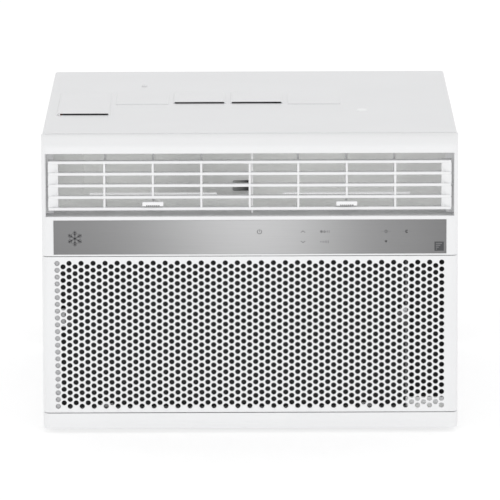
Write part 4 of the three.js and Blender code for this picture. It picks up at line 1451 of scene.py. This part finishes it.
def bend_form(side):
    """Half a ring of tube that joins two tubes one above the other, opening towards the coil."""
    form = bmesh.new()
    rings = []
    for step in range(BEND_STEPS + 1):
        angle = math.pi * step / BEND_STEPS
        centre = Vector((side * BEND_RADIUS * math.sin(angle), 0, BEND_RADIUS * (1 - math.cos(angle))))
        out = Vector((side * math.sin(angle), 0, -math.cos(angle)))
        ring = []
        for corner in range(TUBE_SIDES):
            turn = 2 * math.pi * corner / TUBE_SIDES
            reach = out * math.cos(turn) + Vector((0, 1, 0)) * math.sin(turn)
            ring.append(form.verts.new(centre + reach * TUBE_RADIUS))
        rings.append(ring)
    for near, far in zip(rings, rings[1:]):
        bridge(form, near, far)
    form.faces.new(rings[0])
    form.faces.new(rings[-1])
    return form


def build_coil(coil_node):
    """Fins between two end plates, with bends outside them."""
    low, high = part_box(coil_node)
    count = int((high.x - low.x - 2 * COIL_MARGIN) / FIN_PITCH)
    fin = mesh_of(fin_form(low.y + 1 * MM, high.y - 1 * MM, low.z + 1 * MM, high.z - 1 * MM))
    fins = copies(fin, "aluminium", (low.x + COIL_MARGIN, 0, 0), count, (FIN_PITCH, 0, 0))
    fins.shade_flat()
    plates = [mesh_of(bar((x, low.y, low.z), (x + COIL_PLATE, high.y, high.z), 0.3 * MM, 1))
              for x in (low.x, high.x - COIL_PLATE)]
    place_mesh(coil_node + "_fins", joined(coil_node + "_fins", fins, *plates), coil_node)
    bends = int((high.z - low.z - 12 * MM) / (2 * TUBE_PITCH))
    rows = (low.y + 12 * MM, high.y - 12 * MM)
    tubes = []
    for side, x in ((-1, low.x), (1, high.x)):
        for row, y in enumerate(rows):
            start = low.z + 8 * MM + (TUBE_PITCH if (side > 0) == (row == 0) else 0)
            tubes.append(copies(mesh_of(bend_form(side)), "copper", (x, y, start),
                                bends, (0, 0, 2 * TUBE_PITCH)))
    place_mesh(coil_node + "_bends", joined(coil_node + "_bends", *tubes), coil_node, "copper",
               stands_for=False)
    print(coil_node, count, "fins,", 4 * bends, "bends")


build_coil("evaporator_coil")
build_coil("condenser_coil")

# %% [markdown]
# ## Rear guard
#
# The guard over the condenser is welded wire: many thin level wires outside a few thicker upright ones,
# with the thicker wire all round.

# %% Wire guard
THIN_WIRE = 0.9 * MM
THICK_WIRE = 1.5 * MM
WIRE_PITCH = 9.5 * MM
UPRIGHT_PITCH = 46 * MM
SCREW_INSET = 4 * MM


def wire(axis, radius, length):
    """A round wire along X or Z, from 0, with softened ends."""
    form = rod(radius, length, sides=12)
    round_edges(form, [e for e in form.edges if e.calc_face_angle(0) > SHARP], radius * 0.4, 1)
    shift(form, (0, 0, length / 2))
    if axis == "x":
        turn_about(form, "Y")
    return mesh_of(form)


guard_low, guard_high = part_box("rear_guard")
guard_width = guard_high.x - guard_low.x
guard_height = guard_high.z - guard_low.z
front_y = guard_low.y + THICK_WIRE
rear_y = guard_high.y - THIN_WIRE
level_count = int(guard_height / WIRE_PITCH)
level_step = (guard_height - 2 * THICK_WIRE) / level_count
upright_count = int(guard_width / UPRIGHT_PITCH)
upright_step = (guard_width - 2 * THICK_WIRE) / upright_count
guard_wires = [
    copies(wire("x", THIN_WIRE, guard_width), "black_enamel",
           (guard_low.x, rear_y, guard_low.z + THICK_WIRE), level_count + 1, (0, 0, level_step)),
    copies(wire("z", THICK_WIRE, guard_height), "black_enamel",
           (guard_low.x + THICK_WIRE, front_y, guard_low.z), upright_count + 1, (upright_step, 0, 0)),
    copies(wire("x", THICK_WIRE, guard_width), "black_enamel",
           (guard_low.x, front_y, guard_low.z + THICK_WIRE), 2, (0, 0, guard_height - 2 * THICK_WIRE)),
]
place_mesh("rear_guard_wires", joined("rear_guard_wires", *guard_wires), "rear_guard")
corner_screw = screw_mesh(4 * MM, 1.8 * MM)
corner_screw.transform(Matrix.Rotation(-math.pi / 2, 4, "X"))
corner_screws = copies(
    corner_screw, "galvanised",
    (guard_low.x + SCREW_INSET, guard_high.y - 1 * MM, guard_low.z + SCREW_INSET),
    2, (guard_width - 2 * SCREW_INSET, 0, 0), 2, (0, 0, guard_height - 2 * SCREW_INSET))
place_mesh("guard_screws", corner_screws, "rear_guard", "galvanised", stands_for=False)
print("guard:", level_count + 1, "level wires and", upright_count + 1, "upright wires")

# %% [markdown]
# ## Wheel and fan
#
# Both turn with the motor shaft. The blower wheel has 40 short curved blades between a front ring and a
# back plate with a hub. The condenser fan has five broad twisted blades inside a ring that throws
# condensate on the coil. The ring tree turns one blade round the axis.

# %% Rings and blades round the axis
def turned(profile, segments=48):
    """A closed ring from an (r, y) outline, turned round the Y axis."""
    form = bmesh.new()
    rings = []
    for radius, y in profile:
        rings.append([form.verts.new((radius * math.cos(2 * math.pi * k / segments), y,
                                      radius * math.sin(2 * math.pi * k / segments)))
                      for k in range(segments)])
    for near, far in zip(rings, rings[1:] + rings[:1]):
        bridge(form, near, far)
    return mesh_of(form)


def ring_box(inner, outer, y0, y1):
    """A ring with a rectangular section."""
    return turned([(inner, y0), (outer, y0), (outer, y1), (inner, y1)])


def around(piece, finish, centre, count):
    """Copies of a blade round the Y axis."""
    return grow(RING, {"Piece": piece, "Finish": FINISHES[finish], "Centre": centre, "Count": count})


def moved(mesh, centre):
    """Moves a mesh from the origin to its place."""
    mesh.transform(Matrix.Translation(centre))
    return mesh


# %% Blower wheel
wheel_low, wheel_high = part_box("blower_wheel")
axis_x = (wheel_low.x + wheel_high.x) / 2
axis_z = (wheel_low.z + wheel_high.z) / 2
wheel_radius = (wheel_high.x - wheel_low.x) / 2
wheel_centre = Vector((axis_x, wheel_low.y, axis_z))
wheel_length = wheel_high.y - wheel_low.y
BLOWER_BLADES = 40
BLADE_STEPS = 5
BLADE_CURVE = 0.22
BLADE_THICKNESS = 1 * MM
BORE = 6.3 * MM


def blower_blade():
    """A short blade, curved forwards, along the wheel."""
    inner, outer = wheel_radius - 15 * MM, wheel_radius - 1.2 * MM
    near, far = [], []
    for step in range(BLADE_STEPS + 1):
        share = step / BLADE_STEPS
        radius = inner + (outer - inner) * share
        angle = BLADE_CURVE * (1 - math.cos(share * math.pi / 2))
        for side, points in ((-1, near), (1, far)):
            turn = angle + side * BLADE_THICKNESS / 2 / radius
            points.append((radius * math.cos(turn), radius * math.sin(turn)))
    return mesh_of(prism(near + far[::-1], "y", 1 * MM, wheel_length - 1 * MM))


wheel = [
    around(blower_blade(), "dark_plastic", wheel_centre, BLOWER_BLADES),
    moved(ring_box(wheel_radius - 16 * MM, wheel_radius, 0, 3 * MM), wheel_centre),
    moved(ring_box(BORE, wheel_radius, wheel_length - 2 * MM, wheel_length), wheel_centre),
    moved(ring_box(BORE, 12 * MM, wheel_length - 26 * MM, wheel_length - 1 * MM), wheel_centre),
]
place_mesh("blower_wheel_shape", joined("blower_wheel_shape", *wheel), "blower_wheel")

# %% [markdown]
# A fan blade is a grid of points on two skins, one on each side of a twisted middle surface. The rim then
# joins the two skins all the way round.

# %% Condenser fan
fan_low, fan_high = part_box("condenser_fan")
fan_radius = (fan_high.x - fan_low.x) / 2
fan_depth = fan_high.y - fan_low.y
fan_centre = Vector((axis_x, fan_low.y, axis_z))
FAN_BLADES = 5
HUB_RADIUS = 32 * MM
FAN_RING = 7 * MM
FAN_SKIN = 0.8 * MM
FAN_STEPS = 8


def blade_point(share, across, skin):
    """A point of a fan blade: `share` runs from the hub to the tip, `across` from edge to edge."""
    radius = HUB_RADIUS - 3 * MM + (fan_radius - FAN_RING - HUB_RADIUS) * share
    spread = 2 * (0.36 + 0.06 * math.sin(share * math.pi))
    pitch = 0.62 - 0.3 * share
    angle = 0.22 * share + across * spread
    reach = across * spread * radius
    y = fan_depth * 0.42 - reach * math.tan(pitch) * 0.45 + 4 * MM * (0.25 - across * across)
    y = min(max(y, 2 * FAN_SKIN), fan_depth - 2.6 * MM)
    return radius * math.cos(angle), y + skin, radius * math.sin(angle)


def fan_blade():
    """A broad blade that twists from steep at the hub to shallow at the tip."""
    form = bmesh.new()
    last = FAN_STEPS
    steps = range(last + 1)
    skins = [[[form.verts.new(blade_point(row / last, part / last - 0.5, skin)) for part in steps]
              for row in steps] for skin in (-FAN_SKIN, FAN_SKIN)]
    for rows in skins:
        for near, far in zip(rows, rows[1:]):
            for k in range(last):
                form.faces.new((near[k], near[k + 1], far[k + 1], far[k]))
    rim = [(0, k) for k in steps] + [(j, last) for j in range(1, last + 1)]
    rim += [(last, k) for k in range(last - 1, -1, -1)] + [(j, 0) for j in range(last - 1, 0, -1)]
    bridge(form, *([rows[j][k] for j, k in rim] for rows in skins))
    return mesh_of(form)


fan = [
    around(fan_blade(), "dark_plastic", fan_centre, FAN_BLADES),
    moved(ring_box(BORE, HUB_RADIUS, 0, fan_depth), fan_centre),
    moved(ring_box(fan_radius - FAN_RING, fan_radius, fan_depth - 12 * MM, fan_depth - 2 * MM), fan_centre),
]
place_mesh("condenser_fan_shape", joined("condenser_fan_shape", *fan), "condenser_fan")
print("wheel blades:", BLOWER_BLADES, "fan blades:", FAN_BLADES)

# %% [markdown]
# ## Pipes, compressor and box details
#
# The CAD pipes have eight sides, and subdivision rounds them. The compressor gets the weld seam round
# its middle, the control box its lid and screws. A foam sill stands before the blower opening and
# keeps drops out of it.

# %% Round pipes
PIPE_LEVELS = 2
for pipe_node in ("suction_pipe", "discharge_pipe", "capillary_tube"):
    pipe = clean_copy(pipe_node)
    smooth = pipe.modifiers.new("round", "SUBSURF")
    smooth.levels = PIPE_LEVELS
    round_pipe = baked_mesh(pipe)
    round_pipe.shade_smooth()
    place_mesh(pipe_node + "_round", round_pipe, pipe_node)

# %% Seam, lid, screws and sill
SHELL_RADIUS = 54 * MM
SHELL_BEHIND = 78 * MM
SEAM_INNER = 53.4 * MM
SEAM_OUTER = 55.6 * MM
LID_DEPTH = 6 * MM
BOX_SCREW_INSET = 6 * MM
SILL_HEIGHT = 11 * MM
DUCT_WALL = 4 * MM
shell_low, shell_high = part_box("compressor")
accumulator_low, accumulator_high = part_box("accumulator")
shell_x = shell_high.x - SHELL_RADIUS
shell_y = (accumulator_high.y + accumulator_low.y) / 2 + SHELL_BEHIND
seam_z = shell_low.z + 0.52 * (shell_high.z - shell_low.z)
seam = turned([(SEAM_INNER, -1.6 * MM), (SEAM_OUTER, -1 * MM),
               (SEAM_OUTER, 1 * MM), (SEAM_INNER, 1.6 * MM)], 64)
seam.transform(Matrix.Translation((shell_x, shell_y, seam_z)) @ Matrix.Rotation(math.pi / 2, 4, "X"))
place_mesh("compressor_seam", seam, "compressor", stands_for=False)
box_low, box_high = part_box("control_box")
lid = bar((box_low.x - 0.8 * MM, box_low.y - 0.2 * MM, box_high.z - LID_DEPTH),
          (box_high.x + 0.8 * MM, box_high.y + 0.8 * MM, box_high.z + 0.8 * MM), 0.6 * MM)
place_mesh("control_box_lid", mesh_of(lid), "control_box", "galvanised", stands_for=False)
box_screws = screw_mesh(3 * MM, 1.6 * MM)
box_screws.transform(Matrix.Rotation(math.pi / 2, 4, "X"))
box_screws = copies(
    box_screws, "galvanised",
    (box_low.x + BOX_SCREW_INSET, box_low.y - 0.2 * MM, box_high.z - 14 * MM),
    2, (box_high.x - box_low.x - 2 * BOX_SCREW_INSET, 0, 0))
place_mesh("control_box_screws", box_screws, "control_box", "galvanised", stands_for=False)
floor_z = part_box("outlet_duct")[0].z + DUCT_WALL
sill = bar((axis_x - 84 * MM, wheel_low.y - 5 * MM, floor_z - 0.5 * MM),
           (axis_x + 32 * MM, wheel_low.y - 1 * MM, floor_z + SILL_HEIGHT), 1.5 * MM)
place_mesh("outlet_sill", mesh_of(sill), "outlet_duct", "foam", stands_for=False)
print("round pipes, seam, lid, screws and sill added")

# %% Give the remaining CAD parts their finish
for name, obj in frame["nodes"].items():
    if not obj.hide_render:
        obj.data.materials.clear()
        obj.data.materials.append(FINISHES[SLOT_OF[name]])
